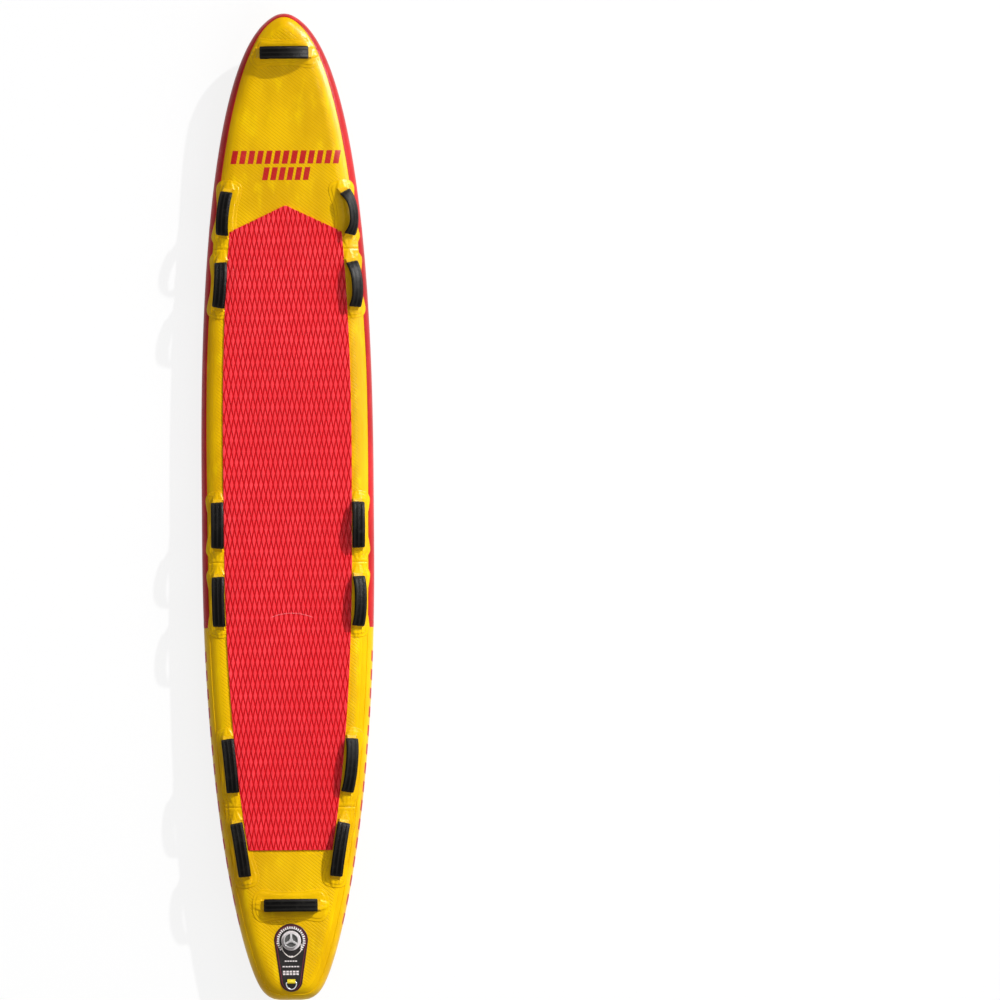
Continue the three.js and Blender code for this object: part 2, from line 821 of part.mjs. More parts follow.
// A section frame on the arch: its centre, its width direction and its thickness direction.
function archFrame(layout, angle) {
  const { centre, away } = archPoint(layout, angle);
  const nudge = radians(archNudgeAngle);
  const travel = archPoint(layout, angle - nudge).centre.sub(archPoint(layout, angle + nudge).centre);
  travel.normalize();
  const thick = away.addScaledVector(travel, -away.dot(travel)).normalize();
  const wide = new THREE.Vector3().crossVectors(travel, thick);
  return { centre, wide, thick, travel };
}

function sectionRing({ centre, wide, thick }, outline) {
  return outline.map(([u, v]) => centre.clone().addScaledVector(wide, u).addScaledVector(thick, v));
}

function boxOutline(halfWidth, halfThickness) {
  return [
    [halfWidth, halfThickness],
    [-halfWidth, halfThickness],
    [-halfWidth, -halfThickness],
    [halfWidth, -halfThickness],
  ];
}

// The section frame where the strap bends up out of its pocket, mitred between foot and arch.
function bendFrame(layout, root, frame, arch, end) {
  const footTravel = new THREE.Vector3().setFromMatrixColumn(frame, 1).multiplyScalar(end);
  const travel = footTravel.clone().add(arch.travel).normalize();
  const stretch = 1 / footTravel.dot(travel);
  const wide = layout.across;
  const thick = new THREE.Vector3().crossVectors(wide, travel).multiplyScalar(stretch);
  return { centre: root, wide, thick };
}

function footFrame(layout, frame) {
  const thick = new THREE.Vector3().setFromMatrixColumn(frame, 2);
  const centre = new THREE.Vector3(0, footLength, rootHeight).applyMatrix4(frame);
  return { centre, wide: layout.across, thick };
}

// The webbing strap: foot, bend, arch, bend, foot.
function strapSolid(layout) {
  const arches = archAngles(layout).tails.map((angle) => archFrame(layout, angle));
  const aftBend = bendFrame(layout, layout.aftRoot, layout.aft, arches[0], -1);
  const foreBend = bendFrame(layout, layout.foreRoot, layout.fore, arches.at(-1), 1);
  const frames = [
    footFrame(layout, layout.aft),
    aftBend,
    ...arches.slice(1, -1),
    foreBend,
    footFrame(layout, layout.fore),
  ];
  const outline = boxOutline(webbingWidth / 2, webbingThickness / 2);
  return loft(frames.map((frame) => sectionRing(frame, outline)));
}

// The padded grip: a lens-shaped sleeve, thinner at its ends, with a flat bore for the webbing.
function gripSolid(layout) {
  const { grip, tails } = archAngles(layout);
  const rings = grip.map((angle, i) => {
    const thinning = gripEndThinning * ((2 * i) / gripSteps - 1) ** 4;
    const outline = gripSectionShares.map(([u, v]) => {
      return [(u * gripWidth) / 2, ((v * gripThickness) / 2) * (1 - thinning)];
    });
    return sectionRing(archFrame(layout, angle), outline);
  });
  const bore = boxOutline(webbingWidth / 2 + glueGap, webbingThickness / 2 + glueGap);
  const boreRings = tails.slice(1, -1).map((angle) => sectionRing(archFrame(layout, angle), bore));
  return loft(rings).subtract(loft(boreRings));
}

// The raised pocket that holds one foot of the webbing, before its slot is cut.
function pocketSolid(frame) {
  const half = webbingWidth / 2 + pocketWall;
  const front = webbingThickness;
  const back = footLength + glueGap + pocketBackWall;
  const ring = (flare, height) =>
    [
      [half + flare, front],
      [-half - flare, front],
      [-half - flare, back + flare],
      [half + flare, back + flare],
    ].map(([x, y]) => new THREE.Vector3(x, y, height).applyMatrix4(frame));
  return loft([
    ring(pocketFlare, -sunk),
    ring(0, pocketTop - pocketShoulder),
    ring(-pocketShoulder, pocketTop),
  ]);
}

function pocketSlot(frame) {
  const outline = boxOutline(webbingWidth / 2 + glueGap, webbingThickness / 2 + glueGap);
  const ring = (y) => outline.map(([x, z]) => new THREE.Vector3(x, y, rootHeight + z).applyMatrix4(frame));
  return loft([ring(0), ring(footLength + glueGap)]);
}

// A handle patch: its sheet with a pocket for each foot, seated on the layers under it.
function patchSolid(sheet, layouts) {
  const frames = layouts.flatMap(({ aft, fore }) => [aft, fore]);
  const whole = frames.reduce((solid, frame) => solid.add(pocketSolid(frame)), sheet);
  const seated = whole.subtract(hullCutter).subtract(padCutter);
  return frames.reduce((solid, frame) => solid.subtract(pocketSlot(frame)), seated);
}

// The outboard and inboard edges of one lobed half of a twin patch, from its aft end forward.
function lobeEdges(handle, side, openEnd) {
  const { centre, along } = sideLine(handle, side);
  const out = new THREE.Vector3(along.y, -along.x, 0).multiplyScalar(side);
  const edge = (reach) => lobeShares.map(([place, width]) => {
    const share = place === openEnd ? waistShare : width;
    const middle = centre.clone().addScaledVector(along, place * handle.lobeReach);
    return middle.addScaledVector(out, share * reach);
  });
  return { outer: edge(patchOutboard), inner: edge(-patchInboard) };
}

// A patch of an even thickness laid on the deck, whose smooth outline runs through given points.
function laidPatch(corners) {
  const outline = new THREE.CatmullRomCurve3(corners, true).getPoints(patchOutlineSteps);
  const shape = new THREE.Shape(outline.slice(1).map(({ x, y }) => new THREE.Vector2(x, y)));
  const middleOfRail = railRadius + Math.max(...corners.map(({ y }) => liftAt(y)));
  return raised(shape, middleOfRail, middleOfRail + chamberThickness).intersect(patchedHull);
}

// The twin patch under two side handles that share a waist.
function twinPatchSheet(foreHandle, aftHandle, side) {
  const aft = lobeEdges(aftHandle, side, 1);
  const fore = lobeEdges(foreHandle, side, -1);
  return laidPatch([...aft.outer, ...fore.outer, ...fore.inner.reverse(), ...aft.inner.reverse()]);
}

// The lobed patch of the nose or tail handle, which runs across the board.
function endPatchSheet(y, half, reach) {
  const edge = (way) => endLobeShares.map(([place, width]) => {
    return new THREE.Vector3(place * half, y + way * width * reach, 0);
  });
  return laidPatch([...edge(-1), ...edge(1).reverse()]);
}

// Valve

const valveFrame = surfaceFrame(0, fromTail(valveFromTail), deckFace, forward);
const flangeBottom = labelRise + glueGap;
const flangeTop = flangeBottom + flangeThickness;
const collarTop = flangeTop + collarHeight;
const seatTop = -barrelDepth + seatThickness;
const hubTop = -hubDepth + hubHeight;
const buttonTop = collarTop - buttonTopBelowCollar;
const sealTop = collarTop + glueGap + sealThickness;

function labelSheet() {
  const fore = fromTail(valveFromTail) + labelHeadRadius;
  const limits = [fore, labelHeadRadius, fromTail(labelEndFromTail), labelFootRadius];
  const rows = roundedRows(limits, 0, roundSteps, labelRows, patchColumns);
  return sheetSolid(deckFace, rows, rows, labelRise);
}

// A round hole straight down through the layers at the valve.
function valveHole(radius, depth) {
  const profile = [
    [0, -depth],
    [radius, -depth],
    [radius, overrun],
    [0, overrun],
  ];
  return placed(turned(profile), valveFrame);
}

// The flange, collar and threaded barrel, with the poppet's seat at the bottom of the throat.
function valveBase() {
  const body = turned([
    [seatRadius, -barrelDepth],
    [barrelRadius, -barrelDepth],
    [barrelRadius, flangeBottom],
    [flangeRadius, flangeBottom],
    [flangeRadius, flangeTop - flangeThickness / 3],
    [flangeRadius - flangeThickness / 3, flangeTop],
    [collarRadius, flangeTop],
    [collarRadius, collarTop],
    [throatRadius, collarTop],
    [throatRadius, seatTop],
    [seatRadius, seatTop],
    [seatRadius, -barrelDepth],
  ]);
  return body.add(valveSpider());
}

// Three spokes and a hub that guide the plunger's stem.
function valveSpider() {
  const hub = turned([
    [stemRadius + stemClearance, -hubDepth],
    [hubRadius, -hubDepth],
    [hubRadius, hubTop],
    [stemRadius + stemClearance, hubTop],
    [stemRadius + stemClearance, -hubDepth],
  ]);
  const inner = (stemRadius + hubRadius) / 2;
  const outer = (throatRadius + barrelRadius) / 2;
  return [0, 1, 2].reduce((solid, i) => {
    const spoke = new THREE.BoxGeometry(outer - inner, spokeWidth, spokeHeight);
    spoke.translate((outer + inner) / 2, 0, -hubDepth + spokeHeight / 2);
    return solid.add(solidFromGeometry(spoke.rotateZ(Math.PI / 2 + (i * 2 * Math.PI) / 3)));
  }, hub);
}

function valveBackNut() {
  const top = -skinThickness - glueGap;
  const outline = (radius) => new THREE.Shape().absarc(0, 0, radius, 0, 2 * Math.PI);
  const bore = outline(barrelRadius + glueGap);
  const blank = turned(
    [
      [0, top - nutThickness],
      [nutRadius, top - nutThickness],
      [nutRadius, top],
      [0, top],
    ],
    nutFlats,
  );
  return blank.subtract(raised(bore, top - nutThickness - overrun, top + overrun));
}

function valvePlunger() {
  const poppetTop = -barrelDepth - glueGap;
  return turned(
    [
      [0, poppetTop - poppetThickness],
      [poppetRadius, poppetTop - poppetThickness],
      [poppetRadius, poppetTop - poppetThickness / 2],
      [poppetRadius - poppetThickness / 2, poppetTop],
      [stemRadius, poppetTop],
      [stemRadius, buttonTop - buttonThickness],
      [buttonRadius, buttonTop - buttonThickness],
      [buttonRadius, buttonTop - buttonThickness / 3],
      [buttonRadius - buttonThickness / 3, buttonTop],
      [0, buttonTop],
    ],
    roundSides / 2,
  );
}

// The coil that holds the poppet up against its seat.
function valveSpring() {
  const bottom = hubTop + springWireRadius + glueGap;
  const top = buttonTop - buttonThickness - springWireRadius - glueGap;
  const count = springTurns * springSteps;
  const rings = Array.from({ length: count + 1 }, (_, i) => {
    const angle = (2 * Math.PI * i) / springSteps;
    const out = new THREE.Vector3(Math.cos(angle), Math.sin(angle), 0);
    const centre = out.clone().multiplyScalar(springRadius).setZ(bottom + ((top - bottom) * i) / count);
    return Array.from({ length: springSides }, (_, k) => {
      const turn = (2 * Math.PI * k) / springSides;
      const point = centre.clone().addScaledVector(out, springWireRadius * Math.cos(turn));
      return point.add(new THREE.Vector3(0, 0, springWireRadius * Math.sin(turn)));
    });
  });
  return loft(rings);
}

function valveSeal() {
  const inner = collarRadius - glueGap - sealWidth;
  return turned([
    [inner, collarTop + glueGap],
    [inner + sealWidth, collarTop + glueGap],
    [inner + sealWidth, sealTop],
    [inner, sealTop],
    [inner, collarTop + glueGap],
  ]);
}

// One of the three hollows between the arms of the cap's grip.
function capPocket(index) {
  const outer = capRadius - capRimWidth;
  const middle = Math.PI / 2 + ((2 * index + 1) * Math.PI) / 3;
  const reach = Math.PI / 3;
  const outerTurn = reach - Math.asin(capArmHalfWidth / outer);
  const innerTurn = reach - Math.asin(capArmHalfWidth / capHubRadius);
  const shape = new THREE.Shape();
  shape.absarc(0, 0, outer, middle - outerTurn, middle + outerTurn, false);
  shape.absarc(0, 0, capHubRadius, middle + innerTurn, middle - innerTurn, true);
  shape.closePath();
  const top = sealTop + glueGap + capTopThickness;
  return raised(shape, top - capPocketDepth, top + overrun);
}

// The cap: a skirt round the collar, a top over the seal, and a three-armed finger grip.
function valveCap() {
  const under = sealTop + glueGap;
  const top = under + capTopThickness;
  const edge = capSkirtThickness / 2;
  const body = turned([
    [0, under],
    [capRadius - capSkirtThickness, under],
    [capRadius - capSkirtThickness, flangeTop + glueGap],
    [capRadius, flangeTop + glueGap],
    [capRadius, top - edge],
    [capRadius - edge, top],
    [0, top],
  ]);
  return [0, 1, 2].reduce((solid, i) => solid.subtract(capPocket(i)), body);
}

// The cap's keeper: a flat strap that hangs in a loop on the tail side of the flange.
function tetherCurve() {
  const radius = flangeRadius + glueGap + tetherWidth / 2;
  const end = (angle) => new THREE.Vector3(Math.cos(radians(angle)), Math.sin(radians(angle)), 0);
  const port = end(tetherStartAngle).multiplyScalar(radius);
  const starboardEnd = end(tetherEndAngle).multiplyScalar(radius);
  const bulge = (from, [out, down]) => new THREE.Vector3(from.x * out, -tetherDrop * down, 0);
  return new THREE.CatmullRomCurve3([
    port,
    bulge(port, tetherPortShares),
    new THREE.Vector3(0, -tetherDrop, 0),
    bulge(starboardEnd, tetherStarboardShares),
    starboardEnd,
  ]);
}

function valveTether() {
  const curve = tetherCurve();
  const middle = labelRise + glueGap + tetherThickness / 2;
  const rings = curve.getPoints(tetherSteps).map((point, i) => {
    const travel = curve.getTangent(i / tetherSteps);
    const side = new THREE.Vector3(-travel.y, travel.x, 0);
    return boxOutline(tetherWidth / 2, tetherThickness / 2).map(([u, v]) => {
      return point.clone().addScaledVector(side, u).setZ(middle + v);
    });
  });
  return loft(rings);
}

// D-rings

// The outline of a D: a straight bar on X, and a bow that reaches towards minus Y.
function ringPath(width, reach) {
  const half = width / 2 - ringWireRadius;
  const depth = reach - 2 * ringWireRadius;
  const path = new THREE.Path();
  path.absarc(half - ringCorner, -ringCorner, ringCorner, Math.PI / 2, 0, true);
  path.absellipse(0, -ringCorner, half, depth - ringCorner, 0, -Math.PI, true);
  path.absarc(-half + ringCorner, -ringCorner, ringCorner, Math.PI, Math.PI / 2, true);
  return path;
}

// A round wire bent along the closed outline, as a solid.
function ringSolid(width, reach) {
  const arcs = ringPath(width, reach).curves.filter((curve) => curve.isEllipseCurve);
  const steps = [cornerSteps, bowSteps, cornerSteps];
  const arc = arcs.flatMap((curve, i) => curve.getPoints(steps[i]));
  const points = arc.filter((point, i) => i === 0 || point.distanceTo(arc[i - 1]) > weldDistance);
  const rings = points.map((point, i) => {
    const before = points[(i + points.length - 1) % points.length];
    const after = points[(i + 1) % points.length];
    const into = point.clone().sub(before).normalize();
    const onward = after.clone().sub(point).normalize();
    const travel = into.clone().add(onward).normalize();
    const stretch = 1 / travel.dot(into);
    const across = new THREE.Vector3(-travel.y, travel.x, 0);
    return Array.from({ length: ringSides }, (_, k) => {
      const turn = (2 * Math.PI * k) / ringSides;
      const centre = new THREE.Vector3(point.x, point.y, ringWireRadius * Math.sin(turn));
      return centre.addScaledVector(across, ringWireRadius * Math.cos(turn) * stretch);
    });
  });
  const faces = rings.flatMap((ring, i) => facesBetween(ring, rings[(i + 1) % rings.length]));
  return solidFromTriangles(faces);
}

// Height of a D-ring's bar over what its loop is glued to.
const barHeight = glueGap + loopThickness + ringBoreClearance + ringWireRadius;

// The webbing loop: a tab glued down, folded over the ring's bar.
function ringLoop(ringWidth) {
  const width = ringWidth - 4 * ringWireRadius - 2 * loopSideGap;
  const bore = ringWireRadius + ringBoreClearance;
  const outer = bore + loopThickness;
  const shape = new THREE.Shape();
  shape.moveTo(-outer, glueGap);
  shape.lineTo(outer + loopTab, glueGap);
  shape.lineTo(outer + loopTab, glueGap + loopThickness);
  shape.lineTo(outer, glueGap + loopThickness);
  shape.absarc(0, barHeight, outer, 0, Math.PI, false);
  shape.closePath();
  const hole = new THREE.Path().absarc(0, barHeight, bore, 0, 2 * Math.PI, true);
  shape.holes.push(hole);
  const options = { depth: width, bevelEnabled: false, curveSegments: ringSides };
  const body = new THREE.ExtrudeGeometry(shape, options).translate(0, 0, -width / 2);
  return solidFromGeometry(body.rotateY(Math.PI / 2).rotateX(Math.PI / 2));
}

function towPatch() {
  const y = fromNose(towRingFromNose);
  const disc = (radius, rise) => {
    const rows = roundedRows([y + radius, radius, y - radius, radius], 0, roundSteps, 1, patchColumns);
    return sheetSolid(bottomFace, rows, rows, rise);
  };
  const step = disc(towPatchStepRadius, towPatchRise + towPatchStep);
  return disc(towPatchRadius, towPatchRise).add(step).subtract(hullCutter);
}

// Fin box

function finRows(length, width, margin) {
  const centre = fromTail(finBoxFromTail);
  const half = length / 2;
  const limits = [centre + half, width / 2, centre - half, width / 2];
  return roundedRows(limits, margin, roundSteps, finPatchRows, flatColumns);
}

function finPatchSheet(rise) {
  const rows = finRows(finPatchLength, finPatchWidth, 0);
  return sheetSolid(bottomFace, rows, rows, rise);
}

const finFrame = surfaceFrame(0, fromTail(finBoxFromTail), bottomFace, forward);
const finBase = finPatchRise + glueGap;

function rectangleRing(halfLength, halfWidth, height) {
  return boxOutline(halfWidth, halfLength).map(([x, y]) => new THREE.Vector3(x, y, height));
}

// The fin box's outside, let out by a margin: a flange and a tall body with sloped ends.
function finBoxBlank(margin) {
  const halfLength = finBoxLength / 2 + margin;
  const halfWidth = finBoxWidth / 2 + margin;
  const low = finBase + finFlangeThickness;
  const flange = loft([
    rectangleRing(halfLength + finFlangeMargin, halfWidth + finFlangeMargin, finBase - margin),
    rectangleRing(halfLength + finFlangeMargin, halfWidth + finFlangeMargin, low + margin),
  ]);
  const body = loft([
    rectangleRing(halfLength, halfWidth, finBase - margin),
    rectangleRing(halfLength, halfWidth, low + margin),
    rectangleRing(halfLength - finBoxEndSlope / 2, halfWidth - margin, finBoxHeight - finBoxCrown),
    rectangleRing(halfLength - finBoxEndSlope, halfWidth - finBoxSideSlope, finBoxHeight),
  ]);
  return flange.add(body);
}

function boxSolid(length, width, centreY, from, to) {
  const body = new THREE.BoxGeometry(width, length, to - from);
  return solidFromGeometry(body.translate(0, centreY, (from + to) / 2));
}

// The fin box with its slot, the side grooves that hold the fin's plate, and the plate's way in.
function finBox() {
  const mouth = finBoxHeight + overrun;
  const slot = boxSolid(finSlotLength, finSlotWidth, 0, finBoxHeight - finSlotDepth, mouth);
  const grooveTop = finBoxHeight - finGrooveDepth + finGrooveHeight;
  const groove = boxSolid(finSlotLength, finGrooveWidth, 0, finBoxHeight - finGrooveDepth, grooveTop);
  const notch = boxSolid(finNotchLength, finNotchWidth, -finNotchAft, finBoxHeight - finGrooveDepth, mouth);
  return finBoxBlank(0).subtract(slot).subtract(groove).subtract(notch);
}

function finCollar() {
  const outer = finRows(collarLength, collarWidth, -collarBevel);
  const foot = finRows(collarLength, collarWidth, 0);
  const sheet = sheetSolid(bottomFace, outer, foot, collarRise);
  const seated = sheet.subtract(hullCutter).subtract(finPatchSheet(finBase));
  return seated.subtract(placed(finBoxBlank(glueGap), finFrame));
}

// Materials

const looks = {
  yellowFabric: { color: 0xe8b800, roughness: 0.55, metalness: 0 },
  redFabric: { color: 0xc52a24, roughness: 0.5, metalness: 0 },
  liner: { color: 0xd8d4c8, roughness: 0.7, metalness: 0 },
  foam: { color: 0xe2353c, roughness: 0.85, metalness: 0 },
  blackFabric: { color: 0x171514, roughness: 0.8, metalness: 0 },
  yellowWebbing: { color: 0xe8b800, roughness: 0.7, metalness: 0 },
  blackPlastic: { color: 0x141416, roughness: 0.45, metalness: 0 },
  greyPlastic: { color: 0xa9a8a6, roughness: 0.35, metalness: 0 },
  paleRubber: { color: 0xd9d3cb, roughness: 0.6, metalness: 0 },
  darkRubber: { color: 0x26262a, roughness: 0.8, metalness: 0 },
  steel: { color: 0xc9ccd0, roughness: 0.22, metalness: 1 },
};

function materialOf(look) {
  return new THREE.MeshStandardMaterial(looks[look]);
}

const board = new THREE.Group();

function addPart(name, solid, look, parent = board) {
  const mesh = new THREE.Mesh(geometryFromSolid(solid), materialOf(look));
  mesh.name = name;
  parent.add(mesh);
}

function framedGroup(matrix, parent = board) {
  const group = new THREE.Group();
  group.applyMatrix4(matrix);
  parent.add(group);
  return group;
}

// Assembly

function addHull() {
  const cavity = valveHole(nutRadius + overrun, barrelDepth + 2 * poppetThickness + 2 * overrun);
  const hole = valveHole(barrelRadius + glueGap, barrelDepth);
  addPart("drop_stitch_core", hullSolid(coreRadius).subtract(cavity), "liner");
  addPart("deck_skin", deckSkin().subtract(hole), "yellowFabric");
  addPart("bottom_skin", bottomSkin(), "yellowFabric");
  addPart("rail_liner", railLiner(), "liner");
  addPart("bow_rail_band", bandSolid(true, bandRadius, bandInnerRadius, glueGap), "redFabric");
  addPart("stern_rail_band", bandSolid(false, bandRadius, bandInnerRadius, glueGap), "yellowFabric");
  addPart("deck_pad", deckPad(), "foam");
}

function addHandle(name, layout) {
  addPart("grip_" + name, gripSolid(layout), "blackFabric");
  addPart("strap_" + name, strapSolid(layout), "yellowWebbing");
}

function addEndHandle(name, y, span, rise, half, reach) {
  const layout = handleLayout(endLine(y), span, rise, 0);
  addPart(name + "_handle_patch", patchSolid(endPatchSheet(y, half, reach), [layout]), "yellowFabric");
  addHandle(name, layout);
}

function addSideHandles() {
  for (const [sideName, side] of [["port", -1], ["starboard", 1]]) {
    for (const twin of twinPatches) {
      const handles = twinHandles(twin);
      const layouts = handles.map((handle) => {
        const lean = side * handle[sideName + "Lean"];
        return handleLayout(sideLine(handle, side), handle.span, handle.rise, lean);
      });
      const sheet = twinPatchSheet(handles[0], handles[1], side);
      addPart(twin.name + "_" + sideName + "_handle_patch", patchSolid(sheet, layouts), "yellowFabric");
      layouts.forEach((layout, i) => addHandle(sideName + "_" + handles[i].pair, layout));
    }
  }
}

function addValve() {
  const hole = valveHole(barrelRadius + glueGap, barrelDepth);
  addPart("valve_label_patch", labelSheet().subtract(hullCutter).subtract(hole), "blackFabric");
  const valve = framedGroup(valveFrame);
  addPart("valve_base", valveBase(), "greyPlastic", valve);
  addPart("valve_back_nut", valveBackNut(), "greyPlastic", valve);
  addPart("valve_plunger", valvePlunger(), "darkRubber", valve);
  addPart("valve_spring", valveSpring(), "steel", valve);
  addPart("valve_cap_seal", valveSeal(), "darkRubber", valve);
  addPart("valve_cap", valveCap(), "greyPlastic", valve);
  addPart("valve_cap_tether", valveTether(), "paleRubber", valve);
}

// A frame on a patch at a D-ring's loop, with Z out of the board and the ring lying towards minus Y.
function ringFrame(y, face, along, rise) {
  return surfaceFrame(0, y, face, along).multiply(new THREE.Matrix4().makeTranslation(0, 0, rise));
}

// The tilt that lays a ring down on the surface that it hangs over.
function ringTilt(reach, rise, rolls) {
  const drop = barHeight - ringWireRadius - glueGap;
  if (!rolls) return Math.asin(drop / (reach - ringWireRadius));
  const rollRadius = railRadius + rise;
  return Math.acos((rollRadius + ringWireRadius + glueGap) / (rollRadius + barHeight));
}

function addRing(name, frame, width, reach, tilt, look) {
  const group = framedGroup(frame);
  addPart(name + "_ring_loop", ringLoop(width), look, group);
  const bar = new THREE.Matrix4().makeTranslation(0, 0, barHeight);
  bar.multiply(new THREE.Matrix4().makeRotationX(tilt));
  addPart(name + "_d_ring", ringSolid(width, reach), "steel", framedGroup(bar, group));
}

function addRings() {
  const leashFrame = ringFrame(fromTail(leashRingFromTail), deckFace, forward, labelRise);
  const leashTilt = ringTilt(leashRingReach, labelRise, true);
  addRing("leash", leashFrame, leashRingWidth, leashRingReach, leashTilt, "yellowFabric");
  addPart("tow_ring_patch", towPatch(), "yellowFabric");
  const backward = forward.clone().negate();
  const towRise = towPatchRise + towPatchStep;
  const towFrame = ringFrame(fromNose(towRingFromNose), bottomFace, backward, towRise);
  addRing("tow", towFrame, towRingWidth, towRingReach, ringTilt(towRingReach, towRise, false), "yellowFabric");
}

function addFinBox() {
  addPart("fin_box_patch", finPatchSheet(finPatchRise).subtract(hullCutter), "yellowFabric");
  addPart("fin_box_collar", finCollar(), "yellowFabric");
  addPart("fin_box", finBox(), "blackPlastic", framedGroup(finFrame));
}

addHull();
addEndHandle("nose", fromNose(noseHandleFromNose), noseGripSpan, noseGripRise, nosePatchHalf, nosePatchReach);
addEndHandle("tail", fromTail(tailHandleFromTail), tailGripSpan, tailGripRise, tailPatchHalf, tailPatchReach);
addSideHandles();
addValve();
addRings();
addFinBox();

export default board;
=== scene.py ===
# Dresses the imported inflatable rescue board. Lengths are millimetres in the board's own frame, with +Y to
# the nose, +X to starboard and +Z up, until a mesh is made of them in metres.
import math

import bmesh
import bpy
import numpy as np
from mathutils import Matrix, Vector
from mathutils.geometry import delaunay_2d_cdt


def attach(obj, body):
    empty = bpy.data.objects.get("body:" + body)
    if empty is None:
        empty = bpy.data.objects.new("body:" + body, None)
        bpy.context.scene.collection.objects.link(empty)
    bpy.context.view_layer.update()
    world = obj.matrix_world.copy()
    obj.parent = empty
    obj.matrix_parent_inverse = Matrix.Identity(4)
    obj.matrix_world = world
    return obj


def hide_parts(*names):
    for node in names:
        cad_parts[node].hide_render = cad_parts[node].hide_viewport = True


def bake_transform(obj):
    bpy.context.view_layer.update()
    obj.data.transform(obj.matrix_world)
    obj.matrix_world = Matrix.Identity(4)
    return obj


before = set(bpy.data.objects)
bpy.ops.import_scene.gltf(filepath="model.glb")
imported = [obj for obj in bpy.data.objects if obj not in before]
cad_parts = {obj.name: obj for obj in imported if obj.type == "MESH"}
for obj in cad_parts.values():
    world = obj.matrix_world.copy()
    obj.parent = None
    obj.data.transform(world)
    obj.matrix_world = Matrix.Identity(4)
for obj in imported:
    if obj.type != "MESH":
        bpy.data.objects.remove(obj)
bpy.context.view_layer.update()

MM, WELD = 0.001, 1e-6

# Sizes, as in the part's source
LENGTH, WIDTH, THICKNESS = 3200.0, 559.0, 127.0
NOSE, TAIL = LENGTH / 2, -LENGTH / 2
RAIL = THICKNESS / 2
SKIN_THICKNESS, BAND_INNER, BAND_OUTER = 1.5, RAIL + 0.3, RAIL + 1.5
EDGE_HALF = WIDTH / 2 - BAND_OUTER
EDGE_NOSE, EDGE_TAIL = NOSE - BAND_OUTER, TAIL + BAND_OUTER
NOSE_LIFT, NOSE_REACH, NOSE_POWER = 95.0, 900.0, 2.3
TAIL_LIFT, TAIL_REACH, TAIL_POWER = 42.0, 1600.0, 1.35
BAND_JOINT, BOW_SEAM_Y = -390.0, NOSE - 698
PAD_APEX, PAD_SHOULDER, PAD_END, PAD_POINT_HALF = NOSE - 623, NOSE - 707, TAIL + 486, 4
WEBBING_WIDTH, WEBBING_THICKNESS = 30.0, 2.2
GRIP_WIDTH, GRIP_THICKNESS = 40.0, 9.6
ROOT_HEIGHT = 4.6
TAIL_MARGIN, LOBE_BEYOND_ROOT, ARCH_START = 10.0, 37.0, math.radians(8)
# Name, waist, share of the gap, and pairs: number, outset, span, rise, port lean and starboard lean
TWIN_PATCHES = [
    ("bow", NOSE - 763.3, 0.633, [(1, 1, 0.803, 1, 1, 36), (2, 1, 0.831, 1, -14, 16)]),
    ("middle", -179.8, 0.837, [(3, 0.767, 0.843, 0.947, -8, -5), (4, 0.72, 0.916, 0.868, -4, 9)]),
    ("stern", TAIL + 625.7, 1, [(5, 0.567, 0.994, 0.816, -8, 9), (6, 0.667, 1, 0.789, -9, -9)]),
]
TWIN_GAP, SIDE_SPAN, SIDE_RISE, SIDE_OUTSET = 24.5, 174.0, 38.0, 15.0
# Name, place, span, rise, and half length and half width of the patch
END_HANDLES = [("nose", NOSE - 128, 156, 36, 114, 50), ("tail", TAIL + 307, 172, 30, 124, 54)]
SIDES = [(-1, "port"), (1, "starboard")]
LOBE_OUTBOARD, LOBE_INBOARD = 40.5, 44
PATCH_EDGE, PATCH_THIN, PATCH_FULL, PATCH_STEP = 0.5, 1.4, 2.7, 11.0
LOBES = [(-1, 0.36), (-0.93, 0.8), (-0.76, 1), (-0.5, 0.93), (-0.2, 0.8),
         (0.2, 0.8), (0.5, 0.93), (0.76, 1), (0.93, 0.8), (1, 0.36)]
END_LOBES = [(-1, 0.36), (-0.92, 0.78), (-0.74, 1), (-0.3, 0.86), (0.3, 0.86), (0.74, 1), (0.92, 0.78), (1, 0.36)]
VALVE_Y, VALVE_HOLE, FLANGE_RADIUS = TAIL + 193, 20.3, 32.0
LABEL_FOOT_Y, LABEL_HEAD_RADIUS, LABEL_FOOT_RADIUS, LABEL_RISE, LABEL_WAVE = TAIL + 27, 55.0, 36.5, 1.6, 0.12
TETHER_WIDTH, TETHER_THICKNESS, TETHER_DROP = 3.0, 1.6, 54.0
# The gap between two layers, which glue fills on the real board
GLUE = 0.3
LEASH_Y, TOW_Y, TOW_PATCH_RADIUS = TAIL + 58, NOSE - 101, 41.6
RING_WIRE, RING_AXLE = 1.9, 4.3
# Of the fin's patch and its collar: from the middle to the end, and half the width
FIN_Y, FIN_PATCH, FIN_COLLAR = TAIL + 448, (269, 104.5), (229.5, 68)
DIAMOND_WIDTH, DIAMOND_LENGTH = 15.8, 72.0
STITCH_TILT = math.radians(38)


# Camera, light and floor

def add_camera():
    """Looks straight down from far off, as the photo's deck view does, with the board at the picture's left."""
    distance, picture_width, turn = 120.0, 3.2438, math.radians(-0.457)
    data = bpy.data.cameras.new("camera")
    data.sensor_width = 36
    data.lens = 36 * distance / picture_width
    data.clip_start, data.clip_end = 1, 400
    camera = bpy.data.objects.new("camera", data)
    camera.location = (0.6889, 0.0168, distance + 0.135)
    camera.rotation_euler = (0, 0, turn)
    bpy.context.scene.collection.objects.link(camera)
    bpy.context.scene.camera = camera


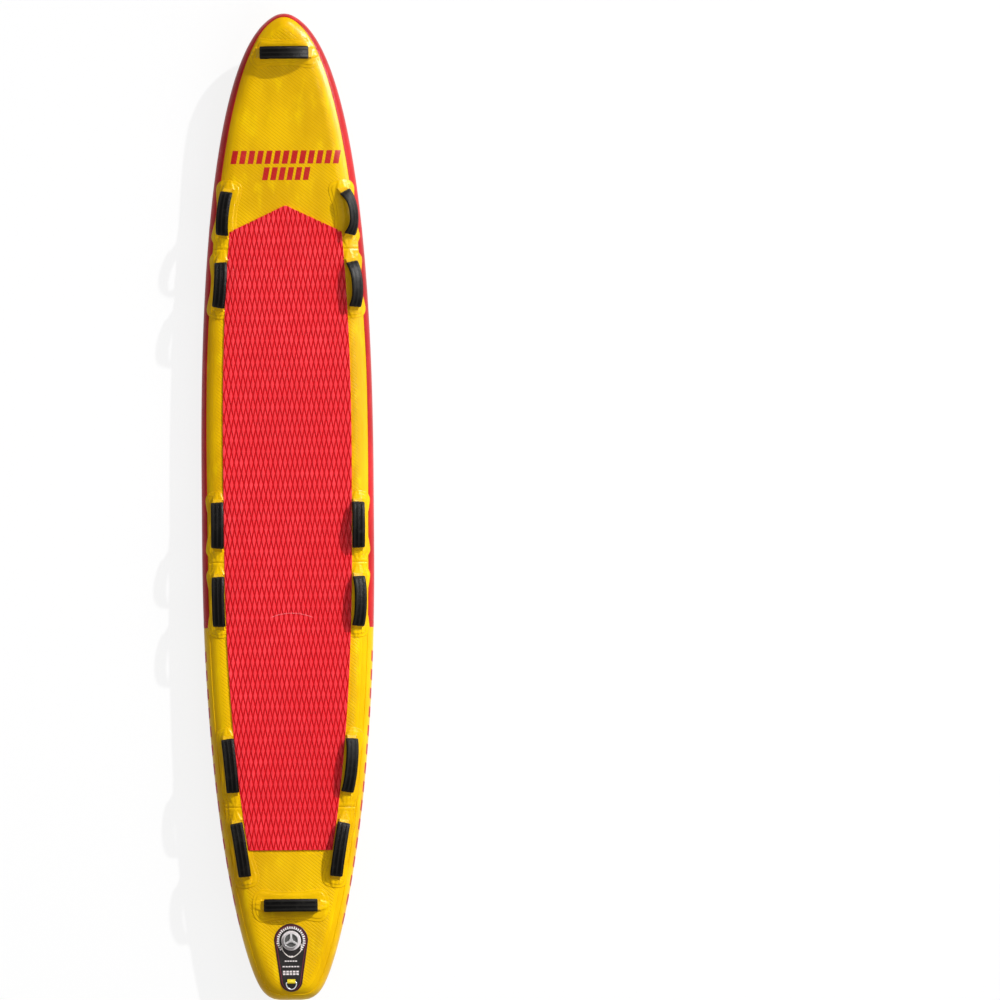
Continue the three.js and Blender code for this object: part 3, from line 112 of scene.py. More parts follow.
def add_lamp(name, kind, energy, location, aim=(0, 0, 0), **settings):
    data = bpy.data.lights.new(name, kind)
    data.energy = energy
    for key, value in settings.items():
        setattr(data, key, value)
    lamp = bpy.data.objects.new(name, data)
    lamp.location = location
    lamp.rotation_euler = (Vector(aim) - Vector(location)).to_track_quat("-Z", "Y").to_euler()
    bpy.context.scene.collection.objects.link(lamp)
    return lamp


def light_path_mix(tree, seen, unseen, target):
    """Joins two shaders, the first for what the camera and clean reflections see."""
    path = tree.nodes.new("ShaderNodeLightPath")
    sees = path.outputs["Is Camera Ray"]
    for ray in ("Is Glossy Ray", "Is Transmission Ray"):
        either = tree.nodes.new("ShaderNodeMath")
        either.operation = "MAXIMUM"
        tree.links.new(sees, either.inputs[0])
        tree.links.new(path.outputs[ray], either.inputs[1])
        sees = either.outputs[0]
    mix = tree.nodes.new("ShaderNodeMixShader")
    for value, socket in zip((sees, unseen, seen), mix.inputs):
        tree.links.new(value, socket)
    tree.links.new(mix.outputs[0], target)


def add_world():
    world = bpy.data.worlds.new("studio")
    bpy.context.scene.world = world
    world.use_nodes = True
    tree = world.node_tree
    fill, white = tree.nodes["Background"], tree.nodes.new("ShaderNodeBackground")
    for background, strength in ((fill, 0.37), (white, 1)):
        background.inputs["Color"].default_value = (1, 1, 1, 1)
        background.inputs["Strength"].default_value = strength
    light_path_mix(tree, white.outputs[0], fill.outputs[0], tree.nodes["World Output"].inputs["Surface"])


def add_floor():
    """A white floor to the eye, which keeps the board's shadow and throws less light back up at it."""
    half, drop, glow_share = 60, 0.0005, 0.84
    material = bpy.data.materials.new("floor")
    material.use_nodes = True
    tree = material.node_tree
    dull = tree.nodes["Principled BSDF"]
    dull.inputs["Base Color"].default_value = (0.45, 0.45, 0.45, 1)
    dull.inputs["Roughness"].default_value = 0.9
    bright = tree.nodes.new("ShaderNodeBsdfDiffuse")
    bright.inputs["Color"].default_value = (0.98, 0.98, 0.98, 1)
    glow = tree.nodes.new("ShaderNodeEmission")
    glow.inputs["Strength"].default_value = 1
    pale = tree.nodes.new("ShaderNodeMixShader")
    pale.inputs[0].default_value = glow_share
    tree.links.new(bright.outputs[0], pale.inputs[1])
    tree.links.new(glow.outputs[0], pale.inputs[2])
    light_path_mix(tree, pale.outputs[0], dull.outputs[0], tree.nodes["Material Output"].inputs["Surface"])
    mesh = bpy.data.meshes.new("floor")
    mesh.from_pydata([(-half, -half, 0), (half, -half, 0), (half, half, 0), (-half, half, 0)], [], [(0, 1, 2, 3)])
    mesh.materials.append(material)
    floor = bpy.data.objects.new("floor", mesh)
    floor.location.z = -drop
    bpy.context.scene.collection.objects.link(floor)


# Hull

def around(sides):
    return np.linspace(0, 2 * math.pi, sides, endpoint=False)


def unit(rows):
    return rows / np.linalg.norm(rows, axis=-1, keepdims=True)


def ramp(t):
    """A soft step from 0 to 1 while t goes from 0 to 1."""
    t = np.clip(t, 0, 1)
    return t * t * (3 - 2 * t)


def length_along(points):
    return np.concatenate([[0], np.cumsum(np.linalg.norm(np.diff(points, axis=0), axis=1))])


def lift(y):
    """How far nose and tail rise above the middle."""
    fore = np.clip((y - (NOSE - NOSE_REACH)) / NOSE_REACH, 0, None)
    aft = np.clip((TAIL + TAIL_REACH - y) / TAIL_REACH, 0, None)
    return NOSE_LIFT * fore ** NOSE_POWER + TAIL_LIFT * aft ** TAIL_POWER


def bezier(a, b, c, d, steps=88):
    """Points of a curve and the way out from each, to the left of its travel."""
    t = np.linspace(0, 1, steps + 1)[:, None]
    a, b, c, d = map(np.array, (a, b, c, d))
    point = a * (1 - t) ** 3 + 3 * b * t * (1 - t) ** 2 + 3 * c * t ** 2 * (1 - t) + d * t ** 3
    slope = unit((b - a) * (1 - t) ** 2 + 2 * (c - b) * t * (1 - t) + (d - c) * t ** 2)
    return point, np.stack([-slope[:, 1], slope[:, 0]], 1)


def starboard_stations():
    """Edge of the flat deck from the nose to the tail's corner, and the way out from it at each place."""
    fore_end, aft_end, count = 120, -130, 9
    fore, fore_out = bezier((0, EDGE_NOSE), (95, EDGE_NOSE - 50), (EDGE_HALF, EDGE_NOSE - 400), (EDGE_HALF, fore_end))
    aft, aft_out = bezier((EDGE_HALF, aft_end), (EDGE_HALF, TAIL + 514), (64.5, EDGE_TAIL), (36, EDGE_TAIL))
    turns = np.linspace(math.pi / 2, math.atan2(fore_out[0][1], fore_out[0][0]), count)[:-1]
    fan = np.repeat(fore[:1], len(turns), 0)
    fan_out = np.stack([np.cos(turns), np.sin(turns)], 1)
    middle = np.stack([np.full(count - 2, EDGE_HALF), np.linspace(fore_end, aft_end, count)[1:-1]], 1)
    middle_out = np.repeat([[1.0, 0.0]], count - 2, 0)
    return np.concatenate([fan, fore, middle, aft]), np.concatenate([fan_out, fore_out, middle_out, aft_out])


EDGE, OUT = starboard_stations()
FLIP = np.array([-1.0, 1.0])
OUTLINE = np.concatenate([EDGE, [[0, EDGE_TAIL]]])


def along_edge(values, y):
    """What the edge's stations hold, at other places along the board."""
    return np.interp(-np.asarray(y, float), -EDGE[:, 1], values)


def edge_half(y):
    """Half width of the flat deck."""
    return along_edge(EDGE[:, 0], y)


def edge_out(y):
    return np.stack([along_edge(OUT[:, k], y) for k in (0, 1)], -1)


def segment_distance(points, line, part=4000):
    """Least distance from each plan point to a line of points."""
    a, b = line[:-1], line[1:]
    run = b - a
    length = np.maximum((run ** 2).sum(1), 1e-12)
    least = np.full(len(points), np.inf)
    for start in range(0, len(points), part):
        p = points[start:start + part, None, :]
        share = np.clip(((p - a) * run).sum(2) / length, 0, 1)
        gap = p - (a + share[:, :, None] * run)
        least[start:start + part] = np.sqrt((gap ** 2).sum(2).min(1))
    return least


def beyond(x, y):
    """How far plan points lie outside the edge of the flat deck."""
    x, y = np.broadcast_arrays(np.abs(np.asarray(x, float)), np.asarray(y, float))
    flat = np.stack([x.ravel(), y.ravel()], 1)
    inside = (flat[:, 0] <= edge_half(flat[:, 1])) & (flat[:, 1] <= EDGE_NOSE) & (flat[:, 1] >= EDGE_TAIL)
    gap = np.zeros(len(flat))
    gap[~inside] = segment_distance(flat[~inside], OUTLINE)
    return gap.reshape(x.shape)


def laid_z(x, y, rise=0.0, face=1):
    """Height of the deck or the bottom, with a layer of a given thickness on it."""
    radius = RAIL + rise
    gap = np.minimum(beyond(x, y), radius)
    return RAIL + face * np.sqrt(radius ** 2 - gap ** 2) + lift(np.asarray(y, float))


def rail_points(edge, out, angles, radius):
    """Rings of points round the rail, one for each station."""
    turn = np.radians(angles)
    radius = np.broadcast_to(radius, (len(edge), turn.shape[-1]))
    reach = radius * np.cos(turn)
    x = edge[:, :1] + out[:, :1] * reach
    y = edge[:, 1:] + out[:, 1:] * reach
    return np.stack([x, y, RAIL + radius * np.sin(turn) + lift(y)], 2)


def skin_frame(x, y, along, face=1, rise=0.0):
    """Origin, across, lengthwise and normal on the skin, the last standing out of the board."""
    slope = [(laid_z(x + dx, y + dy, 0, face) - laid_z(x - dx, y - dy, 0, face)) / 2
             for dx, dy in ((1, 0), (0, 1))]
    normal = unit(np.array([-slope[0], -slope[1], 1.0]) * face)
    along = np.array(along, float)
    lengthwise = unit(along - normal * (along @ normal))
    origin = np.array([x, y, float(laid_z(x, y, 0, face))]) + normal * rise
    return origin, np.cross(lengthwise, normal), lengthwise, normal


def placed(points, place):
    """Points of a frame on the skin, in the board's frame."""
    origin, across, lengthwise, normal = place
    points = np.asarray(points, float)
    return origin + points[..., :1] * across + points[..., 1:2] * lengthwise + points[..., 2:3] * normal


VALVE_PLACE = skin_frame(0, VALVE_Y, (0, 1, 0))


# Meshes

class Pile:
    """Points and faces gathered for one mesh, with a number or two kept at each point."""

    def __init__(self):
        self.points, self.faces, self.marks, self.count = [], [], {}, 0

    def add(self, points, faces, **marks):
        points = np.asarray(points, float).reshape(-1, 3)
        self.points.append(points)
        self.faces += [tuple(int(i) + self.count for i in face) for face in faces]
        for key in set(marks) | set(self.marks):
            old = self.marks.setdefault(key, np.zeros(self.count))
            new = np.broadcast_to(np.asarray(marks.get(key, 0.0), float).ravel(), (len(points),))
            self.marks[key] = np.concatenate([old, new])
        self.count += len(points)

    def grid(self, points, wrap_rows=False, wrap_columns=False, flip=False, **marks):
        rows, columns = points.shape[:2]
        faces = []
        for i in range(rows if wrap_rows else rows - 1):
            for j in range(columns if wrap_columns else columns - 1):
                k, m = (i + 1) % rows, (j + 1) % columns
                face = (i * columns + j, i * columns + m, k * columns + m, k * columns + j)
                faces.append(face[::-1] if flip else face)
        self.add(points, faces, **marks)

    def tube(self, rings, closed=False, **marks):
        """A sweep of closed rings with a face over each end, or joined to its own start."""
        self.grid(rings, wrap_rows=closed, wrap_columns=True, **marks)
        if not closed:
            sides, rows = rings.shape[1], rings.shape[0]
            base = self.count - rows * sides
            self.faces.append(tuple(base + i for i in range(sides))[::-1])
            self.faces.append(tuple(base + (rows - 1) * sides + i for i in range(sides)))

    def slab(self, top, under, faces, **marks):
        """A body between two layers of points with the same faces, walled in at their open edges."""
        count = len(top)
        edges = dict.fromkeys(edge for face in faces for edge in zip(face, face[1:] + face[:1]))
        walls = [(b, a, a + count, b + count) for a, b in edges if (b, a) not in edges]
        back = [tuple(i + count for i in face[::-1]) for face in faces]
        self.add(np.concatenate([top, under]), faces + back + walls, **marks)

    def mesh(self, name):
        """A mesh in metres, its doubled points joined and its faces turned outward."""
        mesh = bpy.data.meshes.new(name)
        mesh.from_pydata((np.concatenate(self.points) * MM).tolist(), [], self.faces)
        for key, values in self.marks.items():
            mesh.attributes.new(key, "FLOAT", "POINT").data.foreach_set("value", values.astype(np.float32))
        work = bmesh.new()
        work.from_mesh(mesh)
        bmesh.ops.remove_doubles(work, verts=work.verts, dist=WELD)
        bmesh.ops.recalc_face_normals(work, faces=work.faces)
        work.to_mesh(mesh)
        work.free()
        return mesh

    def piece(self, name, material, body, slot, replaces=(), smooth=50):
        """Makes a piece of the scene, hung on its body's empty where it has one, with the CAD parts it replaces
        hidden.
        """
        obj = bpy.data.objects.new(name, self.mesh(name))
        bpy.context.scene.collection.objects.link(obj)
        obj.data.materials.append(material)
        shade(obj, smooth)
        if body:
            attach(obj, body)
        if replaces:
            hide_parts(*replaces)
        return obj


def shade(obj, sharp):
    """Smooth shading, with edges past an angle in degrees kept sharp."""
    obj.data.shade_smooth()
    obj.data.set_sharp_from_angle(angle=math.radians(sharp))


def shell(pile, outer, inner):
    """A closed wall between two grids of points."""
    pile.grid(outer)
    pile.grid(inner, flip=True)
    for end in (0, -1):
        pile.grid(np.stack([outer[:, end], inner[:, end]], 1))
    for end in (0, -1):
        pile.grid(np.stack([outer[end], inner[end]], 0))


def boolean(obj, cutter, operation="DIFFERENCE"):
    """Cuts a mesh with a pile for good."""
    tool = bpy.data.objects.new("cutter", cutter.mesh("cutter"))
    bpy.context.scene.collection.objects.link(tool)
    modifier = obj.modifiers.new("cut", "BOOLEAN")
    modifier.operation, modifier.object, modifier.solver = operation, tool, "EXACT"
    bpy.context.view_layer.update()
    made = bpy.data.meshes.new_from_object(obj.evaluated_get(bpy.context.evaluated_depsgraph_get()))
    obj.modifiers.clear()
    old, obj.data = obj.data, made
    bpy.data.meshes.remove(old)
    bpy.data.objects.remove(tool)


def lathe(profile, sides, place, closed=False, flute=None):
    """A turned body from radius and height, in a frame on the skin."""
    turn = around(sides)
    radius, height = np.array(profile, float).T[..., None]
    radius = flute(radius, height, turn) if flute else radius
    points = placed(np.stack([radius * np.cos(turn), radius * np.sin(turn), height + 0 * turn], 2), place)
    pile = Pile()
    if closed:
        pile.grid(points, wrap_rows=True, wrap_columns=True)
    else:
        pile.tube(points)
    return pile


def rounded(profile, radius, steps, closed=False):
    """A profile with its corners rounded."""
    points = [np.array(p, float) for p in profile]
    count = len(points)
    made = []
    for i, point in enumerate(points):
        if not closed and i in (0, count - 1):
            made.append(tuple(point))
            continue
        before, after = points[i - 1] - point, points[(i + 1) % count] - point
        la, lb = np.linalg.norm(before), np.linalg.norm(after)
        cut = min(radius, la * 0.45, lb * 0.45)
        a, b = point + before / la * cut, point + after / lb * cut
        for t in np.linspace(0, 1, steps + 1):
            made.append(tuple(a * (1 - t) ** 2 + 2 * point * t * (1 - t) + b * t ** 2))
    return made


def section_rings(path, wide, thick, u, v):
    """A section at each point of a path, from its offsets along two directions."""
    return path[:, None] + wide[:, None] * u[..., None] + thick[:, None] * v[..., None]


def soft_circle(sides, power_u, power_v):
    """A unit section between a circle (powers of 1) and a square (powers near 0)."""
    turn = around(sides)
    u, v = np.cos(turn), np.sin(turn)
    return np.sign(u) * np.abs(u) ** power_u, np.sign(v) * np.abs(v) ** power_v


def rectangle_section(half_width, half_thickness, sides, power=0.25):
    u, v = soft_circle(sides, power, power)
    return u * half_width, v * half_thickness


def swept(path, sides, radius, closed=False):
    """Rings of a round wire along a path."""
    travel = unit(np.roll(path, -1, 0) - np.roll(path, 1, 0) if closed else np.gradient(path, axis=0))
    side = unit(np.cross(travel, (0.0, 0.0, 1.0)))
    turn = around(sides)
    return section_rings(path, side, np.cross(side, travel), radius * np.cos(turn), radius * np.sin(turn))


def catmull(points, steps):
    """A smooth closed line through points, evenly stepped."""
    points = np.asarray(points, float)
    made = []
    for i in range(len(points)):
        a, b, c, d = (points[(i + k) % len(points)] for k in (-1, 0, 1, 2))
        for t in np.linspace(0, 1, 12, endpoint=False):
            made.append(0.5 * (2 * b + (c - a) * t + (2 * a - 5 * b + 4 * c - d) * t ** 2
                               + (3 * b - a - 3 * c + d) * t ** 3))
    made = np.array(made + [made[0]])
    run = length_along(made)
    places = np.linspace(0, run[-1], steps, endpoint=False)
    return np.stack([np.interp(places, run, made[:, k]) for k in (0, 1)], 1)


def inside_outline(points, outline):
    """Whether each plan point lies inside a closed outline."""
    a, b = outline, np.roll(outline, -1, 0)
    x, y = points[:, :1], points[:, 1:]
    spans = (a[:, 1] > y) != (b[:, 1] > y)
    with np.errstate(divide="ignore", invalid="ignore"):
        cross = a[:, 0] + (y - a[:, 1]) / (b[:, 1] - a[:, 1]) * (b[:, 0] - a[:, 0])
    return ((spans & (x < cross)).sum(1) % 2) == 1


def inset_line(outline, margin):
    """A closed outline drawn in by a margin."""
    travel = unit(np.roll(outline, -1, 0) - np.roll(outline, 1, 0))
    area = (outline[:, 0] * np.roll(outline[:, 1], -1) - outline[:, 1] * np.roll(outline[:, 0], -1)).sum()
    inward = np.stack([-travel[:, 1], travel[:, 0]], 1) * np.sign(area)
    return outline + inward * margin


def sheet_pile(outline, rise, insets, face=1, spacing=4.0, foot=-1.2, extra=None):
    """A thin body laid on the skin inside an outline, its thickness given at each place.

    Its points are rings at the given insets, a grid of triangles inside them, and extra points where shapes are fine.
    """
    row_share, extra_room_squared = 0.87, 6.5
    closed = np.concatenate([outline, outline[:1]])
    rings = [outline] + [inset_line(outline, margin) for margin in insets]
    low, high = outline.min(0), outline.max(0)
    xs = np.arange(low[0] + spacing / 2, high[0], spacing)
    ys = np.arange(low[1] + spacing / 2, high[1], spacing * row_share)
    grid = np.array([(x + (spacing / 2 if j % 2 else 0), y) for j, y in enumerate(ys) for x in xs])
    grid = grid[inside_outline(grid, outline)]
    grid = grid[segment_distance(grid, closed) > insets[-1] + spacing * 0.45]
    if extra is not None:
        extra = extra[inside_outline(extra, outline)]
        extra = extra[segment_distance(extra, closed) > insets[-1] + 0.8]
        clear = [((point - extra) ** 2).sum(1).min() >= extra_room_squared for point in grid]
        grid = np.concatenate([grid[clear], extra])
    points = np.concatenate(rings + [grid])
    result = delaunay_2d_cdt([Vector(p) for p in points.tolist()], [], [list(range(len(outline)))], 1, 1e-5)
    flat = np.array([tuple(p) for p in result[0]])
    depth = segment_distance(flat, closed)
    over = rise(flat[:, 0], flat[:, 1], depth)
    top, under = (np.column_stack([flat, laid_z(flat[:, 0], flat[:, 1], layer, face)]) for layer in (over, foot))
    pile = Pile()
    pile.slab(top, under, [tuple(triangle) for triangle in result[2]], inset=np.concatenate([depth, depth]))
    return pile


def tiles_pile(tiles, place, columns, rows, rise=0.16, foot=-0.4):
    """Thin printed shapes, each four corners of a flat layout that place() lays on the board."""
    pile = Pile()
    u = np.linspace(0, 1, columns + 1)[None, :, None]
    v = np.linspace(0, 1, rows + 1)[:, None, None]
    for corners in tiles:
        a, b, c, d = (np.array(p, float) for p in corners)
        flat = (a * (1 - u) + b * u) * (1 - v) + (d * (1 - u) + c * u) * v
        shell(pile, *(place(flat[..., 0], flat[..., 1], layer) for layer in (rise, foot)))
    return pile


# Materials

def rgb(red, green, blue):
    """A colour given as a screen shows it, in the renderer's own scale."""
    return tuple(((c / 255 + 0.055) / 1.055) ** 2.4 if c > 10 else c / 255 / 12.92 for c in (red, green, blue)) + (1,)


class Finish:
    """A procedural material, whose nodes read the board's own coordinates in millimetres."""

    def __init__(self, name, **plain):
        self.material = bpy.data.materials.new(name)
        self.material.use_nodes = True
        self.tree = self.material.node_tree
        self.shader = self.tree.nodes["Principled BSDF"]
        for key, value in plain.items():
            self.shader.inputs[key.replace("_", " ")].default_value = value
        self.place = self.vector("MULTIPLY", self.node("TexCoord").outputs["Object"], (1000, 1000, 1000))
        parts = self.node("SeparateXYZ")
        self.feed(parts.inputs[0], self.place)
        self.x, self.y = parts.outputs[:2]

    def node(self, kind, **settings):
        node = self.tree.nodes.new("ShaderNode" + kind)
        for key, value in settings.items():
            setattr(node, key, value)
        return node

    def feed(self, socket, value):
        if isinstance(value, bpy.types.NodeSocket):
            self.tree.links.new(value, socket)
        else:
            socket.default_value = value

    def math(self, operation, *values):
        node = self.node("Math", operation=operation)
        for socket, value in zip(node.inputs, values):
            self.feed(socket, value)
        return node.outputs[0]

    def vector(self, operation, a, b):
        node = self.node("VectorMath", operation=operation)
        self.feed(node.inputs[0], a)
        self.feed(node.inputs[1], b)
        return node.outputs[0]

    def mark(self, name):
        return self.node("Attribute", attribute_name=name).outputs["Fac"]

    def along(self, x, y, z=0.0):
        """Distance along a direction."""
        node = self.node("VectorMath", operation="DOT_PRODUCT")
        self.feed(node.inputs[0], self.place)
        self.feed(node.inputs[1], (x, y, z))
        return node.outputs["Value"]

    def noise(self, size, detail=2.0, stretch=(1, 1, 1), shift=0.0):
        where = self.vector("MULTIPLY", self.place, tuple(s / size for s in stretch))
        where = self.vector("ADD", where, (shift, shift * 0.7, shift * 1.3))
        node = self.node("TexNoise")
        self.feed(node.inputs["Vector"], where)
        node.inputs["Scale"].default_value = 1
        node.inputs["Detail"].default_value = detail
        return node.outputs[0]

    def cells(self, size):
        node = self.node("TexVoronoi")
        self.feed(node.inputs["Vector"], self.vector("MULTIPLY", self.place, (1 / size,) * 3))
        node.inputs["Scale"].default_value = 1
        return node.outputs["Distance"]

    def smooth(self, value, low, high, to_low=0.0, to_high=1.0):
        node = self.node("MapRange", interpolation_type="SMOOTHSTEP")
        for key, number in (("Value", value), ("From Min", low), ("From Max", high),
                            ("To Min", to_low), ("To Max", to_high)):
            self.feed(node.inputs[key], number)
        return node.outputs[0]

    def wave(self, distance, pitch, shift=0.0):
        """A sine from 0 to 1 that repeats at a pitch."""
        turn = self.math("MULTIPLY_ADD", distance, 2 * math.pi / pitch, shift)
        return self.math("MULTIPLY_ADD", self.math("SINE", turn), 0.5, 0.5)

    def near(self, distance, pitch):
        """Distance to the nearest of a row of lines, as a share of their pitch."""
        share = self.math("FRACT", self.math("MULTIPLY", distance, 1 / pitch))
        return self.math("SUBTRACT", 0.5, self.math("ABSOLUTE", self.math("SUBTRACT", share, 0.5)))

    def line(self, value, place, half, soft=0.4):
        """1 on a line of a given half width, 0 away from it."""
        gap = self.math("ABSOLUTE", self.math("SUBTRACT", value, place))
        return self.smooth(gap, half, half + soft, 1.0, 0.0)

    def product(self, a, b):
        return self.math("MULTIPLY", a, b)

    def either(self, a, b):
        """Where either of two patterns is."""
        return self.math("MAXIMUM", a, b)

    def blend(self, factor, a, b):
        node = self.node("Mix", data_type="RGBA")
        self.feed(node.inputs[0], factor)
        self.feed(node.inputs[6], a)
        self.feed(node.inputs[7], b)
        return node.outputs[2]

    def tint(self, tone, colour, pattern, share):
        """Lays a share of a colour over a tone where a pattern is."""
        return self.blend(self.product(pattern, share), tone, colour)

    def total(self, pairs, start=0.0):
        """A number plus the sum of pairs of a pattern and its weight."""
        for pattern, weight in pairs:
            start = self.math("MULTIPLY_ADD", pattern, weight, start)
        return start

    def finished(self, tone, roughness, heights, rough=0.0):
        """Sets the colour, the roughness as a sum, and the relief as a sum of heights in millimetres."""
        bump = self.node("Bump")
        bump.inputs["Strength"].default_value = 1
        bump.inputs["Distance"].default_value = MM
        self.feed(bump.inputs["Height"], self.total(heights))
        self.feed(self.shader.inputs["Normal"], bump.outputs[0])
        self.feed(self.shader.inputs["Base Color"], tone)
        self.feed(self.shader.inputs["Roughness"], self.total(roughness, rough))
        return self.material


def coated_fabric(name, plain, pale, deep, diagonal=0.0, uprights=0.0, rough=0.28, lines=(), lengthwise=0.0,
                  shoulder=False, layers=False, gloss=0.08, sheen=0.0):
    """Coated drop-stitch fabric: soft swells, a fine weave, rows of stitch dimples and glue lines, and painted shade
    on the rail's curve and in the patches' wrinkles.
    """
    look = Finish(name, Specular_IOR_Level=gloss, Sheen_Weight=sheen)
    swell = look.noise(150, 3, (1, 0.45, 1))
    crease = look.noise(34, 3, (1, 0.4, 1), 3)
    grain = look.noise(1.6, 2)
    weave = look.product(look.wave(look.along(1, 0, 0.6), 1.25), look.wave(look.y, 1.25))
    rail = look.mark("rail") if shoulder or lengthwise else None
    tone = look.blend(look.smooth(swell, 0.32, 0.7), deep, plain)
    tone = look.tint(tone, pale, look.smooth(crease, 0.52, 0.78), 0.55)
    tone = look.tint(tone, deep, grain, 0.16)
    heights = [(swell, 0.8), (crease, 0.5), (weave, 0.03), (grain, 0.03)]
    if diagonal:
        row = look.near(look.along(math.sin(STITCH_TILT), math.cos(STITCH_TILT)), diagonal)
        dots = look.wave(look.along(math.cos(STITCH_TILT), -math.sin(STITCH_TILT)), diagonal * 0.42)
        dimple = look.product(look.smooth(row, 0.02, 0.2, 1.0, 0.0), look.math("MULTIPLY_ADD", dots, 0.6, 0.4))
        if shoulder:
            dimple = look.product(dimple, look.smooth(rail, 68, 78))
        tone = look.tint(tone, rgb(202, 153, 0), dimple, 0.8)
        heights.append((dimple, -0.55))
    if uprights:
        upright = look.smooth(look.near(look.x, uprights), 0.03, 0.22, 1.0, 0.0)
        tone = look.tint(tone, deep, upright, 0.12)
        heights.append((upright, -0.12))
    if shoulder:
        fold = look.line(rail, 62.5, 0.35, 0.5)
        # Past the fold, down the rail's curve, the colour is darkened: painted shade.
        tone = look.blend(look.smooth(rail, 61, 62.5, 0.34, 0.0), tone, deep)
        tone = look.tint(tone, deep, fold, 0.4)
        heights.append((fold, -0.3))
    if layers:
        inset = look.mark("inset")
        ply = look.either(look.line(inset, 0.7, 0.45, 0.5), look.line(inset, 11.2, 0.4, 0.6))
        # Wrinkles: grooves in relief, darkened in colour as painted shade, more so towards the patch's edge.
        wrinkles = look.smooth(look.noise(7, 3, (0.35, 1.6, 0.4), 9), 0.56, 0.72)
        tone = look.tint(tone, rgb(196, 146, 0), ply, 0.6)
        tone = look.tint(tone, deep, wrinkles, look.smooth(inset, 14, 34, 0.6, 0.15))
        heights.append((wrinkles, -0.4))
    if lengthwise:
        hems = look.either(look.line(rail, 46.2, 0.35, 0.3), look.line(rail, -37.5, 0.3, 0.3))
        mark = look.either(look.line(rail, -10.3, 0.5, 0.5), hems)
        tone = look.tint(tone, deep, mark, lengthwise)
        heights.append((mark, -0.25))
    for place, half in lines:
        mark = look.line(look.math("ADD", look.y, look.product(crease, 3.0)), place + 1.5, half, 0.7)
        tone = look.tint(tone, deep, mark, 0.62)
        heights.append((mark, -0.7))
    return look.finished(tone, [(grain, 0.1), (swell, 0.06)], heights, rough - 0.08)


def foam_look():
    """Grooved foam: bright raised diamonds, deep grooves with their walls and floors painted darker as painted shade,
    closed-cell skin, scuffed tops and one arched crease.
    """
    look = Finish("grooved_foam", Specular_IOR_Level=0.12)
    groove = look.math("MINIMUM", *(look.near(look.along(1 / DIAMOND_WIDTH, way / DIAMOND_LENGTH), 1)
                                    for way in (1, -1)))
    pores, scuff, broad = look.cells(0.9), look.noise(42, 4), look.noise(260, 2)
    wear_and_groove_shade = look.smooth(groove, 0.13, 0.19)
    top = look.blend(look.smooth(scuff, 0.4, 0.75), rgb(238, 50, 60), rgb(252, 64, 74))
    top = look.tint(top, rgb(228, 44, 54), look.smooth(broad, 0.35, 0.7), 0.5)
    # The groove walls are painted a darker red and the groove floors darker still: painted shade in the grooves.
    top = look.blend(wear_and_groove_shade, rgb(216, 34, 42), top)
    tone = look.blend(look.smooth(groove, 0.05, 0.12), rgb(196, 8, 18), top)
    aside = look.math("ABSOLUTE", look.math("SUBTRACT", look.x, 10))
    arc = look.math("MULTIPLY_ADD", look.math("POWER", aside, 2.0), 0.003, look.y)
    crease = look.product(look.line(arc, NOSE - 1945, 0.8, 1.4), look.smooth(aside, 58, 74, 1.0, 0.0))
    tone = look.tint(tone, rgb(255, 120, 126), crease, 0.55)
    tone = look.tint(tone, rgb(120, 4, 8), look.smooth(pores, 0.0, 0.35, 1.0, 0.0), 0.12)
    return look.finished(tone, [(pores, 0.1), (scuff, 0.14), (wear_and_groove_shade, 0.6)],
                         [(pores, 0.06), (scuff, 0.12), (crease, 1.1)])


def cover_look(name, plain, pale, deep):
    """Woven sleeve over a grip: ribs of coarse yarn with their crests painted paler as a painted highlight, a
    stitched seam at each side and folded ends.
    """
    look = Finish(name, Specular_IOR_Level=0.05)
    run, side, end = (look.mark(mark) for mark in ("run", "side", "end"))
    yarn = look.wave(side, 1.9)
    cloth = look.product(yarn, look.wave(look.math("ADD", run, look.product(yarn, 0.9)), 1.5))
    dust = look.noise(26, 4)
    seam = look.line(look.math("ABSOLUTE", side), 16.2, 0.35)
    stitch = look.product(seam, look.smooth(look.near(run, 3.4), 0.12, 0.2))
    tack = look.product(look.line(end, 7.2, 0.4), look.smooth(look.near(side, 3.0), 0.12, 0.2))
    fold = look.line(end, 2.6, 0.45, 0.6)
    thread = look.either(stitch, look.either(tack, fold))
    # The ribs' crests are painted paler: a painted highlight.
    rib_highlight = look.smooth(look.wave(side, 13.6, math.pi / 2), 0.55, 0.95)
    tone = look.blend(look.product(cloth, 0.5), deep, plain)
    for pattern, share in ((rib_highlight, 0.28), (look.smooth(dust, 0.5, 0.8), 0.25), (thread, 0.6)):
        tone = look.tint(tone, pale, pattern, share)
    return look.finished(tone, [(cloth, 0.1), (dust, 0.2), (yarn, 0.06), (look.noise(50), 0.5)],
                         [(cloth, 0.22), (stitch, 0.2), (fold, 0.3), (dust, 0.15)])


def webbing_look(name, plain, pale, deep):
    """Flat webbing: a herringbone of two yarns and a corded edge."""
    look = Finish(name, Specular_IOR_Level=0.12)
    run, side = look.mark("run"), look.mark("side")
    lane = look.smooth(look.wave(side, 6), 0.45, 0.55)
    slope = look.math("MULTIPLY_ADD", lane, 2.0, -1.0)
    twill = look.wave(look.math("ADD", run, look.product(side, slope)), 1.6)
    edge = look.smooth(look.math("ABSOLUTE", side), 13.0, 14.2)
    wear_and_groove_shade = look.noise(18, 3)
    tone = look.tint(plain, deep, twill, 0.55)
    tone = look.tint(tone, pale, look.smooth(wear_and_groove_shade, 0.5, 0.8), 0.5)
    tone = look.tint(tone, deep, edge, 0.35)
    return look.finished(tone, [(twill, 0.14), (wear_and_groove_shade, 0.3), (lane, 0.05), (edge, 0.1), (look.wave(side, 3), 0.3)],
                         [(twill, 0.2), (edge, 0.25), (wear_and_groove_shade, 0.1)])


